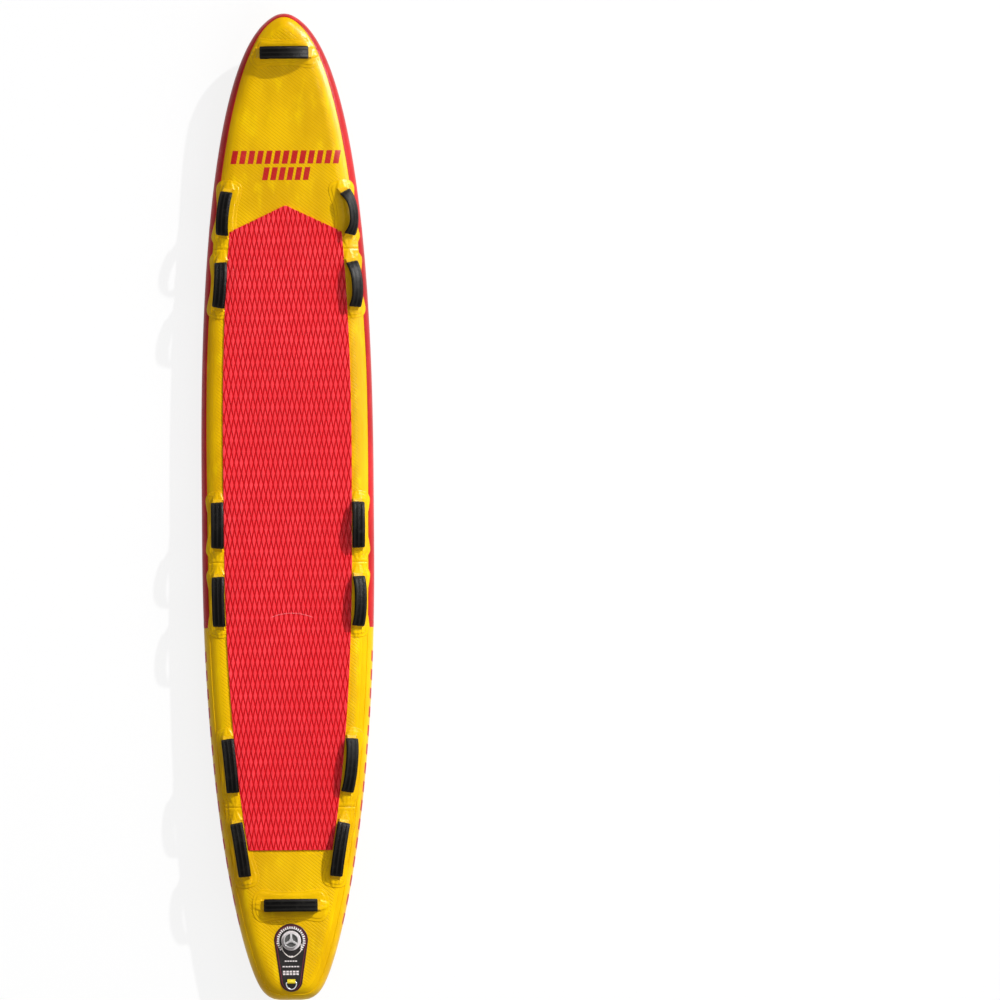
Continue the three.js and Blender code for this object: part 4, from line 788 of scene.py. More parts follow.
def moulded_look(name, plain, pale, deep, rough, metallic=0.0, gradient=None):
    """Moulded plastic, rubber or cast metal: a fine grain, flow marks, handling scratches and dust; a gradient, where
    given, paints shade on it.
    """
    look = Finish(name, Metallic=metallic, Specular_IOR_Level=0.45)
    pits = look.cells(0.7)
    flow = look.noise(19, 3, (1, 0.5, 1))
    scratch = look.smooth(look.noise(6, 4, (1, 0.08, 1), 5), 0.6, 0.72)
    tone = look.blend(look.smooth(flow, 0.35, 0.72), plain, pale)
    tone = look.tint(tone, deep, look.smooth(pits, 0.0, 0.3, 1.0, 0.0), 0.25)
    tone = look.tint(tone, pale, scratch, 0.2)
    # A gradient paints shade: the colour darkens to a given one below a height along a direction.
    if gradient:
        direction, low, high, colour = gradient
        tone = look.blend(look.smooth(look.along(*direction), low, high), colour, tone)
    return look.finished(tone, [(pits, 0.1), (flow, 0.12), (scratch, 0.1), (look.noise(3), rough * 1.5)],
                         [(pits, 0.05), (flow, 0.08), (scratch, -0.03)])


def label_look():
    """The valve's label: a black printed sheet with a maroon rim and a thin pink line inside it."""
    look = Finish("label_print", Specular_IOR_Level=0.25)
    inset, grain, scuff = look.mark("inset"), look.noise(1.4, 2), look.noise(24, 4)
    black = look.blend(look.smooth(scuff, 0.5, 0.8), rgb(22, 18, 17), rgb(52, 46, 42))
    black = look.tint(black, rgb(10, 8, 8), grain, 0.3)
    tone = look.blend(look.smooth(inset, 7.4, 8.6, 1.0, 0.0), black, rgb(46, 10, 17))
    tone = look.blend(look.line(inset, 6.4, 0.22, 0.4), tone, rgb(150, 50, 66))
    return look.finished(tone, [(grain, 0.14), (scuff, 0.35), (look.noise(60), 0.3)], [(grain, 0.05), (scuff, 0.25)])


def liner_look(name, plain, pale, deep):
    """Inside of the chamber: pale scrim with the rows of its drop threads."""
    look = Finish(name, Specular_IOR_Level=0.3)
    threads = look.product(look.wave(look.x, 4.2), look.wave(look.y, 4.2))
    haze = look.noise(30, 3)
    tone = look.blend(look.smooth(threads, 0.5, 0.9), plain, deep)
    tone = look.tint(tone, pale, haze, 0.4)
    return look.finished(tone, [(threads, 0.1), (haze, 0.3), (look.noise(5), 0.9)], [(threads, 0.3), (haze, 0.1)])


YELLOW = rgb(245, 195, 0), rgb(255, 217, 0), rgb(218, 166, 0)
RED = rgb(200, 32, 34), rgb(214, 52, 52), rgb(160, 20, 22)


# Pieces

def between(a, b, t, start, end):
    """The point at a time t on the line that is at a at the start and at b at the end."""
    return (a * (end - t) + b * (t - start)) / (end - start)


def tether_line():
    """A smooth flat line from the flange's port side round its tail side to its starboard side."""
    seat = FLANGE_RADIUS + GLUE + TETHER_WIDTH / 2
    port, starboard = (np.array([math.cos(t), math.sin(t)]) * seat for t in map(math.radians, (205, -18)))
    line = np.array([port, (port[0] * 0.86, -TETHER_DROP * 0.62), (0, -TETHER_DROP),
                     (starboard[0] * 0.98, -TETHER_DROP * 0.6), starboard], float)
    line = np.concatenate([[2 * line[0] - line[1]], line, [2 * line[-1] - line[-2]]])
    made = []
    for i in range(4):
        a, b, c, d = line[i:i + 4]
        k0, k1, k2, k3 = np.cumsum([0] + [np.linalg.norm(v) ** 0.5 for v in (b - a, c - b, d - c)])
        for t in np.linspace(k1, k2, 14, endpoint=False):
            ab, bc, cd = between(a, b, t, k0, k1), between(b, c, t, k1, k2), between(c, d, t, k2, k3)
            made.append(between(between(ab, bc, t, k0, k2), between(bc, cd, t, k1, k3), t, k1, k2))
    return np.array(made + [line[5]])


def add_tether():
    """The cap's keeper, a flat loop that lies on the label from one side of the flange to the other."""
    sides = 16
    flat = tether_line()
    path = np.column_stack([flat, np.full(len(flat), LABEL_RISE + GLUE + TETHER_THICKNESS / 2)])
    travel = unit(np.gradient(path, axis=0))
    across = np.stack([-travel[:, 1], travel[:, 0], 0 * travel[:, 0]], 1)
    section = rectangle_section(TETHER_WIDTH / 2, TETHER_THICKNESS / 2, sides, 0.6)
    rings = section_rings(path, across, np.array([[0, 0, 1.0]]), *section)
    run = length_along(path)
    pile = Pile()
    pile.tube(placed(rings, VALVE_PLACE), run=np.repeat(run, sides))
    look = moulded_look("keeper_rubber", rgb(222, 214, 204), rgb(236, 230, 222), rgb(170, 160, 150), 0.45)
    obj = pile.piece("cap_keeper", look, None, "tether", ["valve_cap_tether"], smooth=40)
    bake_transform(obj)


ANGLES_DECK = [90, 85, 80, 74, 68, 62, 57, 53, 50, 44, 38, 32, 26]
ANGLES_BOTTOM = [-21, -27, -33, -38, -41, -46, -52, -58, -65, -72, -79, -85, -90]
BAND_PROFILE = [(51, 64.15), (50.7, 64.75), (50.2, 65), (48, 65.05), (46.6, 65.2), (46.2, 64.9), (45.8, 65), (40, 65),
                (34, 65), (27, 65), (20, 65), (13, 65), (6, 65), (0, 65), (-5, 65), (-9.6, 65), (-9.9, 65.45),
                (-10.7, 65.45), (-11, 65), (-17, 65), (-24, 65), (-31, 65), (-37, 65), (-37.4, 64.9),
                (-37.8, 65.15), (-39.6, 65), (-40.4, 64.8), (-41, 64.15)]


def round_tail(edge, out, closed):
    """Adds places along the flat tail and the port side, up to the first station's mirror or short of it."""
    edge = np.concatenate([edge, [(x, EDGE_TAIL) for x in (24.0, 12.0, 0.0)]])
    out = np.concatenate([out, [(0.0, -1.0)] * 3])
    return [np.concatenate([rows, (rows * FLIP)[-2:0 if closed else None:-1]]) for rows in (edge, out)]


def skin_pile(face, angles, columns=7):
    """The deck's or the bottom's fabric, down or up over the rail to where the band covers it."""
    edge, out = round_tail(EDGE, OUT, closed=True)
    rail = np.abs(np.tile(angles, len(edge)))
    layers = [rail_points(edge, out, angles, RAIL - depth) for depth in (0, SKIN_THICKNESS)]
    pile = Pile()
    for layer in layers:
        pile.grid(layer, wrap_rows=True, rail=rail)
    rim = -1 if face > 0 else 0
    pile.grid(np.stack([layer[:, rim] for layer in layers], 1), wrap_rows=True, rail=26)
    x, y = EDGE.T
    for depth in (0, SKIN_THICKNESS):
        level = [np.repeat(part[:, None], columns, 1) for part in (y, RAIL + face * (RAIL - depth) + lift(y))]
        pile.grid(np.stack([np.linspace(-x, x, columns, axis=1)] + level, 2), rail=90)
    return pile


def cut_for_valve(obj):
    """Cuts the round hole that the valve stands in."""
    boolean(obj, lathe([(VALVE_HOLE, -12), (VALVE_HOLE, 12)], 64, VALVE_PLACE))


def add_skins():
    deck = coated_fabric("deck_coating", *YELLOW, diagonal=9.0, shoulder=True)
    obj = skin_pile(1, ANGLES_DECK).piece("deck_fabric", deck, "board", "yellow_skin", ["deck_skin"], smooth=40)
    cut_for_valve(obj)
    obj.data.shade_smooth()
    bottom = coated_fabric("bottom_coating", *YELLOW, diagonal=11.0, uprights=9.0)
    skin_pile(-1, ANGLES_BOTTOM).piece("bottom_fabric", bottom, "board", "yellow_skin", ["bottom_skin"], smooth=40)


def band_stations(bow):
    """Stations of one rail band, from its starboard end round to its port end, with its hem's places."""
    joint = BAND_JOINT + (0.3 if bow else -0.3)
    stops = joint + np.array([18.5, 17, 1, 0] if bow else [0, -1])
    ends = np.column_stack([edge_half(stops), stops]), edge_out(stops)
    if bow:
        keep = EDGE[:, 1] > stops[0] + 2
        rows = [np.concatenate([line[keep], end]) for line, end in zip((EDGE, OUT), ends)]
        return [np.concatenate([line[::-1], (line * FLIP)[1:]]) for line in rows]
    keep = EDGE[:, 1] < stops[-1] - 2
    return round_tail(*(np.concatenate([end, line[keep]]) for line, end in zip((EDGE, OUT), ends)), closed=False)


def band_angles(y):
    """The band's profile angles at each station, its top hem running higher or lower on the rail."""
    hem = np.interp(NOSE - y, [0, 83, 165, 281, 414, 540, 767, 1150, 1783, LENGTH],
                    [27, 35, 42, 46, 47, 47, 44, 40, 44, 44])[:, None]
    angle = np.array([a for a, _ in BAND_PROFILE])[None]
    return np.where(angle > 20, 20 + (angle - 20) * (hem - 20) / 31, angle)


def add_bands():
    """The two rail bands, the red one raised where its end laps and over its seam."""
    angles, radii = zip(*BAND_PROFILE)
    for bow, name, node, slot, colours in ((True, "bow_band_tape", "bow_rail_band", "red_band", RED),
                                           (False, "stern_band_tape", "stern_rail_band", "yellow_skin", YELLOW)):
        edge, out = band_stations(bow)
        y = edge[:, 1]
        radius = np.tile(radii, (len(edge), 1))
        if bow:
            radius[(y > BAND_JOINT + 0.9) & (y < BAND_JOINT + 17.6)] += 0.35
            radius[np.abs(y - BOW_SEAM_Y) < 9] += 0.25
        pile = Pile()
        shell(pile, *(rail_points(edge, out, band_angles(y), level) for level in (radius, BAND_INNER)))
        rail = np.tile(angles, 2 * len(edge))
        pile.marks["rail"] = np.concatenate([rail, np.zeros(pile.count - len(rail))])
        look = coated_fabric(name + "_coating", *colours, rough=0.3, lengthwise=0.5,
                             lines=[(BOW_SEAM_Y, 0.9), (BAND_JOINT + 18, 0.9)] if bow else [],
                             gloss=0.06 if bow else 0.09, sheen=0.09 if bow else 0.0)
        pile.piece(name, look, "board", slot, [node])


def pad_half(y):
    """Half width of the deck pad, which tapers straight to its blunt point."""
    inset = np.interp(y, [PAD_END, PAD_SHOULDER], [12, 1.5])
    taper = np.interp(y, [PAD_SHOULDER, PAD_APEX], [float(edge_half(PAD_SHOULDER)) - 1.5, PAD_POINT_HALF])
    return np.where(y <= PAD_SHOULDER, edge_half(y) - inset, taper)


def add_pad():
    """The deck pad: a lattice of diamond grooves cut out along the pad's outline, with its top edge eased."""
    shares = [0, 0.07, 0.135, 0.185, 0.5, 0.815, 0.865, 0.93]
    depths = [-1.9, -1.85, -0.8, 0, 0.12, 0, -0.8, -1.85]
    cells, top_z, sharp = range(-32, 32), 5, 28
    lines = np.array([cell + share for cell in cells for share in shares])
    p, q = np.meshgrid(lines, lines, indexing="ij")
    drops = np.tile(depths, len(cells))
    x, y = (p + q) / 2 * DIAMOND_WIDTH, (p - q) / 2 * DIAMOND_LENGTH
    near = (np.abs(x) < pad_half(y) + 24) & (y < PAD_APEX + 60) & (y > PAD_END - 80)
    i, j = np.nonzero(near[:-1, :-1] & near[1:, :-1] & near[:-1, 1:] & near[1:, 1:])
    corner = i * len(lines) + j
    faces = np.stack([corner, corner + 1, corner + len(lines) + 1, corner + len(lines)], 1)
    used, faces = np.unique(faces, return_inverse=True)
    flat = np.stack([x.ravel()[used], y.ravel()[used]], 1)
    top = np.column_stack([flat, top_z + np.minimum.outer(drops, drops).ravel()[used]])
    under = np.column_stack([flat, 0 * flat[:, 0]])
    pile = Pile()
    pile.slab(top, under, [tuple(face) for face in faces.reshape(-1, 4).tolist()])
    mesh_pad = pile.piece("deck_foam_pad", foam_look(), None, "pad_foam", ["deck_pad"], smooth=sharp)
    places = np.concatenate([[PAD_APEX], np.linspace(PAD_SHOULDER, PAD_END, 42)])
    half = pad_half(places)
    half[0] = PAD_POINT_HALF
    rows = []
    for inset, z in ((0.2, -3), (0, 3.4), (0.55, 4.5), (1.6, 5.4), (1.6, 9)):
        y_at = places.copy()
        y_at[0] -= inset * 1.1
        y_at[-1] += inset
        right = np.stack([half - inset, y_at, np.full(len(places), z)], 1)
        rows.append(np.concatenate([right, (right * [-1, 1, 1])[::-1]]))
    prism = Pile()
    prism.tube(np.array(rows))
    boolean(mesh_pad, prism, "INTERSECT")
    work = bmesh.new()
    work.from_mesh(mesh_pad.data)
    for vertex in work.verts:
        vertex.co.z += (THICKNESS + GLUE + float(lift(vertex.co.y / MM))) * MM
    work.to_mesh(mesh_pad.data)
    work.free()
    shade(mesh_pad, sharp)
    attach(mesh_pad, "board")


# Handles

class Handle:
    """Everything that places one handle: its roots, its axis and the way it stands."""

    def __init__(self, name, centre, along, span, rise, lean):
        self.name, self.span, self.rise, self.lean = name, span, rise, math.radians(lean)
        centre, along = np.array([*centre, 0.0]), np.array([*along, 0.0])
        out = span / 2 + TAIL_MARGIN
        self.aft, self.fore = (skin_frame(*(centre + along * out * way)[:2], along * way) for way in (-1, 1))
        self.aft_root, self.fore_root = (placed([0, 0, ROOT_HEIGHT], f) for f in (self.aft, self.fore))
        self.half = np.linalg.norm(self.fore_root - self.aft_root) / 2
        self.axis = unit(self.fore_root - self.aft_root)
        normal = self.aft[3] + self.fore[3]
        self.normal = unit(normal - self.axis * (normal @ self.axis))
        self.across = np.cross(self.axis, self.normal)
        self.middle = (self.aft_root + self.fore_root) / 2
        self.grip_start = math.acos(self.span / 2 / self.half * math.cos(ARCH_START))

    def arch(self, angle):
        """Points of the arch and the way its face looks, for many angles at once."""
        angle = np.asarray(angle, float)[:, None]
        along = self.half * np.cos(angle) / math.cos(ARCH_START)
        height = self.rise * (np.sin(angle) - math.sin(ARCH_START)) / (1 - math.sin(ARCH_START))
        lean = self.lean * (1 - (along / self.half) ** 4)
        away = self.normal * np.cos(lean) + self.across * np.sin(lean)
        return self.middle + self.axis * along + away * height, away


def strip_frames(travel, face):
    """The two directions of a flat section that travels one way and looks another."""
    thick = unit(face - travel * (face * travel).sum(1)[:, None])
    return np.cross(travel, thick), thick


def grip_section(sides):
    """Half-size outline of a grip: a full top with three soft ribs and a flatter underside."""
    u, v = soft_circle(sides, 0.72, 0.8)
    rib = 0.24 * np.cos(3 * math.pi * u) * (1 - np.abs(u) ** 3)
    return u, np.where(v > 0, v * (1 + rib), v * 0.92)


def add_grip(handle, look, body, sides=36, steps=44):
    """The padded sleeve, its ends gathered and bound, with a bore for the webbing."""
    share = np.concatenate([[0, 0.004, 0.012], np.linspace(0, 1, steps + 1)[1:-1], [0.988, 0.996, 1]])
    angle = math.pi - handle.grip_start - (math.pi - 2 * handle.grip_start) * share
    centre, away = handle.arch(angle)
    wide, thick = strip_frames(unit(handle.arch(angle - 0.01)[0] - handle.arch(angle + 0.01)[0]), away)
    run = length_along(centre)
    end = np.minimum(run, run[-1] - run)
    flat = ramp(end / 9)
    lip = 1 - 0.1 * np.exp(-((end - 7.2) / 1.3) ** 2) - np.where(end < 0.5, 0.12, 0)
    swell = 1 + 0.045 * np.sin(run / run[-1] * math.pi)
    pinch = 1 - 0.05 * np.exp(-((run / run[-1] - 0.5) / 0.07) ** 2)
    height = (0.60 + 0.40 * flat) * lip * pinch * swell * GRIP_THICKNESS / 2
    width = (1 - 0.015 * (1 - flat)) * (GRIP_WIDTH + 1.6) / 2 * (1 - np.where(end < 0.5, 0.02, 0))
    u, v = grip_section(sides)
    outer = section_rings(centre, wide, thick, u * width[:, None], v * height[:, None])
    bore = rectangle_section(WEBBING_WIDTH / 2 + GLUE, WEBBING_THICKNESS / 2 + GLUE, sides)
    inner = section_rings(centre, wide, thick, *bore)
    marks = {"run": np.repeat(run, sides), "side": (u * width[:, None]).ravel(), "end": np.repeat(end, sides)}
    pile = Pile()
    for layer in (outer, inner):
        pile.grid(layer, wrap_columns=True, **marks)
    for row in (0, -1):
        pile.grid(np.stack([outer[row], inner[row]]), wrap_columns=True)
    obj = pile.piece("grip_sleeve_" + handle.name, look, body, "grip_cover", ["grip_" + handle.name], smooth=55)


def add_strap(handle, look, sides=24, steps=96):
    """The webbing from one foot, up out of its pocket, over the arch and down to the other foot."""
    lead = [(0, u, ROOT_HEIGHT - 3.4 * (u / 14) ** 1.4) for u in (14, 11, 8, 5.5, 3.5)]
    aft, fore = placed(lead, handle.aft), placed(lead, handle.fore)[::-1]
    centre, away = handle.arch(np.linspace(math.pi - ARCH_START, ARCH_START, 58))
    clear = np.ones(len(centre), bool)
    for root in (handle.aft_root, handle.fore_root):
        clear &= np.linalg.norm(centre - root, axis=1) > 3.0
    path = np.concatenate([aft, centre[clear], fore])
    face = np.concatenate([[handle.aft[3]] * len(lead), away[clear], [handle.fore[3]] * len(lead)])
    run = length_along(path)
    fine = np.linspace(0, run[-1], steps)
    path, face = (np.stack([np.interp(fine, run, line[:, k]) for k in range(3)], 1) for line in (path, face))
    u, v = rectangle_section(WEBBING_WIDTH / 2, WEBBING_THICKNESS / 2, sides, 0.3)
    rings = section_rings(path, *strip_frames(unit(np.gradient(path, axis=0)), face), u, v)
    pile = Pile()
    pile.tube(rings, run=np.repeat(fine, sides), side=np.tile(u, steps))
    obj = pile.piece("strap_web_" + handle.name, look, None, "webbing", ["strap_" + handle.name], smooth=45)
    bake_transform(obj)


def side_line(y, span, outset, side):
    """Centre and direction of a side handle, set in from the edge of the deck."""
    run = unit(np.array([float(edge_half(y + span / 2) - edge_half(y - span / 2)), span]))
    centre = np.array([float(edge_half(y)), y]) + np.array([run[1], -run[0]]) * outset
    return centre * [side, 1], run * [side, 1]


def bump_cross(v, half, soft):
    """1 across a strip, falling to 0 over its soft sides."""
    return ramp((half + soft - np.abs(v)) / (2 * soft))


def tent_height(u, v):
    """Height of the folded fabric over the foot of a strap, from its mouth outward."""
    front = ramp((u + 2.4) / 2.2)
    fade = np.clip(1 - u / 40, 0, 1)
    crease = 1 - 0.35 * np.exp(-(v / 2.2) ** 2) * np.clip(u / 16, 0, 1)
    return 5.0 * front * fade ** 1.15 * bump_cross(v, 17.5 * np.clip(1 - u / 46, 0.05, 1), 3.0) * crease


def patch_rise(handles, waist):
    """Thickness of a patch: two layers, soft waves, a tent over each foot and a crease at the waist."""
    def rise(x, y, inset):
        over_band = 1.5 * ramp((beyond(x, y) - 37.5) / 4.5)
        thin = PATCH_EDGE + (PATCH_THIN - PATCH_EDGE) * np.clip(inset / 0.7, 0, 1)
        height = over_band + thin + (PATCH_FULL - PATCH_THIN) * ramp((inset - PATCH_STEP + 0.9) / 1.8)
        height += 0.22 * np.sin(x / 17.0 + y / 23.0) * np.sin(y / 31.0 - x / 41.0) * np.clip(inset / 14, 0, 1)
        for root, across, lengthwise, _ in (place for handle in handles for place in (handle.aft, handle.fore)):
            dx, dy = x - root[0], y - root[1]
            u = dx * lengthwise[0] + dy * lengthwise[1]
            v = dx * across[0] + dy * across[1]
            height += np.where((u > -6) & (u < 44) & (np.abs(v) < 24), tent_height(u, v), 0)
        if waist is not None:
            height += 0.7 * np.exp(-((np.abs(y - waist) - 7) / 4) ** 2) - 1.1 * np.exp(-((y - waist) / 1.6) ** 2)
        return height
    return rise


def root_points(handles):
    """Close-set points of a patch round each root, where its fabric folds up over the strap."""
    return np.array([
        root[:2] + across[:2] * v + lengthwise[:2] * u
        for handle in handles for root, across, lengthwise, _ in (handle.aft, handle.fore)
        for u in [-3.4, -2.6, -2.0, -1.4, -0.8, -0.2, 1, 3, 6, 9, 13, 17, 21, 26, 31, 36, 40]
        for v in np.arange(-23, 23.1, 2.3)])


def lobe_edges(centre, along, reach, side, open_end):
    """The outboard and the inboard edge of one handle's half of a twin patch."""
    out = np.array([along[1], -along[0]]) * side
    return [[centre + along * place * reach + out * (0.78 if place == open_end else width) * way
             for place, width in LOBES] for way in (LOBE_OUTBOARD, -LOBE_INBOARD)]


def add_patch(name, node, outline, handles, look, waist=None):
    """A handle patch, with rows of points close together across its waist where it has one."""
    extra = root_points(handles)
    if waist is not None:
        xs = np.arange(outline[:, 0].min(), outline[:, 0].max(), 4.0)
        gaps = (-12, -8, -5, -2.6, -1.3, 0, 1.3, 2.6, 5, 8, 12)
        extra = np.concatenate([extra, [(x, waist + gap) for x in xs for gap in gaps]])
    pile = sheet_pile(outline, patch_rise(handles, waist), spacing=4.4,
                      insets=(0.4, 0.9, 3, 9.9, 10.6, 11.4, 12.2), extra=extra)
    return pile.piece(name, look, "board", "yellow_skin", [node])


def inside_hem(outline, gap):
    """Draws a patch's outline in to a gap from the top hem of the rail band."""
    hem = np.radians(band_angles(EDGE[:, 1])[:, 0])[:, None]
    line = EDGE + OUT * BAND_OUTER * np.cos(hem)
    half = np.interp(-outline[:, 1], -line[:, 1], line[:, 0]) - gap
    return np.stack([np.clip(outline[:, 0], -half, half), outline[:, 1]], 1)


def add_handles():
    lines = [(waist, 0.5) for _, waist, _, _ in TWIN_PATCHES] + [(NOSE - 1003, 0.4), (NOSE - 2039, 0.4)]
    patch_look = coated_fabric("patch_coating", *YELLOW, lines=lines, layers=True)
    end_look = coated_fabric("end_patch_coating", *YELLOW, layers=True)
    cover = cover_look("grip_weave", rgb(13, 11, 9), rgb(56, 54, 50), rgb(4, 3, 3))
    web = webbing_look("strap_weave", rgb(226, 178, 0), rgb(238, 192, 2), rgb(188, 142, 0))

    def dress_handle(handle):
        add_grip(handle, cover, "handle_" + handle.name)
        add_strap(handle, web)

    for name, y, span, rise, half, reach in END_HANDLES:
        handle = Handle(name, (0, y), (1, 0), span, rise, 0)
        corners = [(place * half, y - width * reach) for place, width in END_LOBES]
        corners += [(place * half, y + width * reach) for place, width in END_LOBES[::-1]]
        outline = catmull(inside_hem(catmull(corners, 60), 4.5), 220)
        add_patch(name + "_patch_sheet", name + "_handle_patch", outline, [handle], end_look)
        dress_handle(handle)
    for side, side_name in SIDES:
        for twin, waist, gap_share, pairs in TWIN_PATCHES:
            handles, edges = [], []
            for way, (pair, outset, span, rise, *leans) in zip((1, -1), pairs):
                span *= SIDE_SPAN
                reach = span / 2 + LOBE_BEYOND_ROOT
                line = side_line(waist + way * (gap_share * TWIN_GAP / 2 + reach), span, outset * SIDE_OUTSET, side)
                lean = side * leans[0 if side < 0 else 1]
                handle = Handle("%s_%d" % (side_name, pair), *line, span, rise * SIDE_RISE, lean)
                handles.append(handle)
                edges.append(lobe_edges(*line, reach, side, -way))
                dress_handle(handle)
            fore, aft = edges
            outline = catmull(aft[0] + fore[0] + fore[1][::-1] + aft[1][::-1], 420)
            node = "%s_%s_handle_patch" % (twin, side_name)
            add_patch("%s_%s_patch_sheet" % (twin, side_name), node, outline, handles, patch_look, waist)


# Valve

def cap_pocket(middle):
    """One of the hollows between the arms of the cap's star, about the angle of its middle."""
    rings = []
    for inset, z in ((1.3, 13.3), (0.5, 13.6), (0.15, 14.2), (0, 16.8), (-0.35, 17.3), (-0.9, 17.6), (-0.9, 20)):
        outer, inner, arm = 21.2 - inset, 6.4 + inset, 3.4 + inset
        wide = math.pi / 3 - math.asin(arm / outer)
        tight = math.pi / 3 - math.asin(min(0.999, arm / inner))
        far = middle + np.linspace(-wide, wide, 22)
        close = middle + np.linspace(tight, -tight, 10)
        points = [(outer * math.cos(t), outer * math.sin(t), z) for t in far]
        points += [(inner * math.cos(t), inner * math.sin(t), z) for t in close]
        rings.append(points)
    pile = Pile()
    pile.tube(placed(np.array(rings), VALVE_PLACE))
    return pile


def add_spider(pile):
    """The hub that guides the plunger, and its three arms."""
    hub = lathe(rounded([(2.5, -15), (5, -15), (5, -10), (2.5, -10)], 0.4, 2, True), 40, VALVE_PLACE, True)
    pile.add(np.concatenate(hub.points), hub.faces)
    u, v = rectangle_section(1.5, 1.5, 16, 0.4)
    for t in math.pi / 2 + np.arange(3) * 2 * math.pi / 3:
        out, side = np.array([math.cos(t), math.sin(t), 0]), np.array([-math.sin(t), math.cos(t), 0])
        rings = [out * r + side * (u[:, None] * wide) + np.array([0, 0, 1]) * v[:, None] + [0, 0, -13.5]
                 for r, wide in ((4.2, 1.25), (6, 1), (13, 1), (16.2, 1.3))]
        pile.tube(placed(np.array(rings), VALVE_PLACE))


def add_valve():
    place, sharp = VALVE_PLACE, 35
    normal = place[3]
    top = float(normal @ place[0])
    silver = moulded_look("valve_base_plastic", rgb(214, 205, 206), rgb(234, 226, 228), rgb(150, 140, 142), 0.32)
    # The cap is painted darker below the star's top, in its pockets and down its side: painted shade.
    cap_look = moulded_look("cap_plastic", rgb(172, 168, 168), rgb(206, 202, 202), rgb(112, 108, 108), 0.28,
                            gradient=(tuple(normal), top + 13.6, top + 16.6, rgb(74, 73, 72)))
    rubber = moulded_look("dark_rubber", rgb(38, 38, 42), rgb(60, 60, 64), rgb(18, 18, 20), 0.6)
    steel = moulded_look("spring_steel", rgb(196, 199, 204), rgb(224, 226, 230), rgb(120, 122, 126), 0.22,
                         metallic=1.0)
    base = rounded([(10.5, -30), (20, -30), (20, 1.9), (FLANGE_RADIUS, 1.9), (FLANGE_RADIUS, 3.6), (31.1, 4.5),
                    (27.4, 4.5), (27.2, 4.1), (26.4, 4.1), (26.2, 4.5), (22.6, 4.5), (22.6, 8.7), (15.5, 8.7),
                    (15.5, -27), (10.5, -27)], 0.5, 2, True)
    pile = lathe(base, 96, place, closed=True)
    add_spider(pile)
    pile.piece("valve_body", silver, "board", "valve_plastic", ["valve_base"], smooth=sharp)
    plunger = rounded([(0, -33.3), (13, -33.3), (13, -31.8), (11.5, -30.3), (2.2, -30.3), (2.2, 4.3), (6.5, 4.3),
                       (6.5, 5.9), (5.7, 6.7), (2.6, 6.7), (2.0, 6.3), (0, 6.2)], 0.4, 2)
    pile = lathe(plunger, 48, place)
    pile.piece("valve_stem", rubber, "plunger", "seal_rubber", ["valve_plunger"], smooth=sharp)
    turn = np.linspace(0, 10 * math.pi, 161)
    path = np.stack([4 * np.cos(turn), 4 * np.sin(turn), np.linspace(-9.15, 3.45, len(turn))], 1)
    pile = Pile()
    pile.tube(placed(swept(path, 10, 0.55), place))
    obj = pile.piece("valve_coil", steel, None, "steel", ["valve_spring"], smooth=60)
    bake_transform(obj)
    seal = rounded([(19.3, 9.0), (22.3, 9.0), (22.3, 10.6), (19.3, 10.6)], 0.6, 3, True)
    pile = lathe(seal, 96, place, closed=True)
    pile.piece("cap_gasket", rubber, "cap_carrier", "seal_rubber", ["valve_cap_seal"], smooth=sharp)
    cap = rounded([(0, 10.9), (23.4, 10.9), (23.4, 4.8), (25.4, 4.8), (25.4, 16.2), (24.2, 17.4), (0, 17.4)], 0.8, 4)

    def grooves(radius, height, turn_):
        fade = np.clip((radius - 24.6) / 0.6, 0, 1) * np.clip((16.0 - height) / 1.2, 0, 1)
        return radius - fade * 0.55 * (0.5 + 0.5 * np.cos(turn_ * 36)) ** 3

    pile = lathe(cap, 216, place, flute=grooves)
    obj = pile.piece("valve_cap_star", cap_look, "cap", "valve_plastic", ["valve_cap"], smooth=sharp)
    for i in range(3):
        boolean(obj, cap_pocket(math.pi / 2 + (2 * i + 1) * math.pi / 3))
    shade(obj, sharp)


def racetrack(y, half, radius):
    """A long outline with two round ends, about a place along the board."""
    return round_outline(y + half, radius, y - half, radius)


def round_outline(fore, fore_radius, aft, aft_radius, steps=48):
    """A racetrack or teardrop along Y with two round ends."""
    turn = np.linspace(0, math.pi, steps + 1)
    head = np.stack([fore_radius * np.cos(turn), fore - fore_radius + fore_radius * np.sin(turn)], 1)
    foot = np.stack([-aft_radius * np.cos(turn), aft + aft_radius - aft_radius * np.sin(turn)], 1)
    sides = []
    for a, b in ((head[-1], foot[0]), (foot[-1], head[0])):
        count = max(2, int(np.linalg.norm(b - a) / 6))
        share = np.linspace(0, 1, count + 1)[1:-1, None]
        sides.append(a + (b - a) * share)
    return np.concatenate([head, sides[0], foot, sides[1]])


def add_label():
    def rise(x, y, inset):
        eased = 0.6 * np.clip(inset / 0.8, 0, 1)
        return LABEL_RISE - 0.6 + eased + LABEL_WAVE * np.sin(x / 9) * np.sin(y / 13)

    outline = round_outline(VALVE_Y + LABEL_HEAD_RADIUS, LABEL_HEAD_RADIUS, LABEL_FOOT_Y, LABEL_FOOT_RADIUS)
    pile = sheet_pile(outline, rise, insets=(0.4, 1.0, 2.4, 4.2, 6.2, 8))
    obj = pile.piece("valve_label_sheet", label_look(), "board", "label", ["valve_label_patch"])
    cut_for_valve(obj)


# D-rings

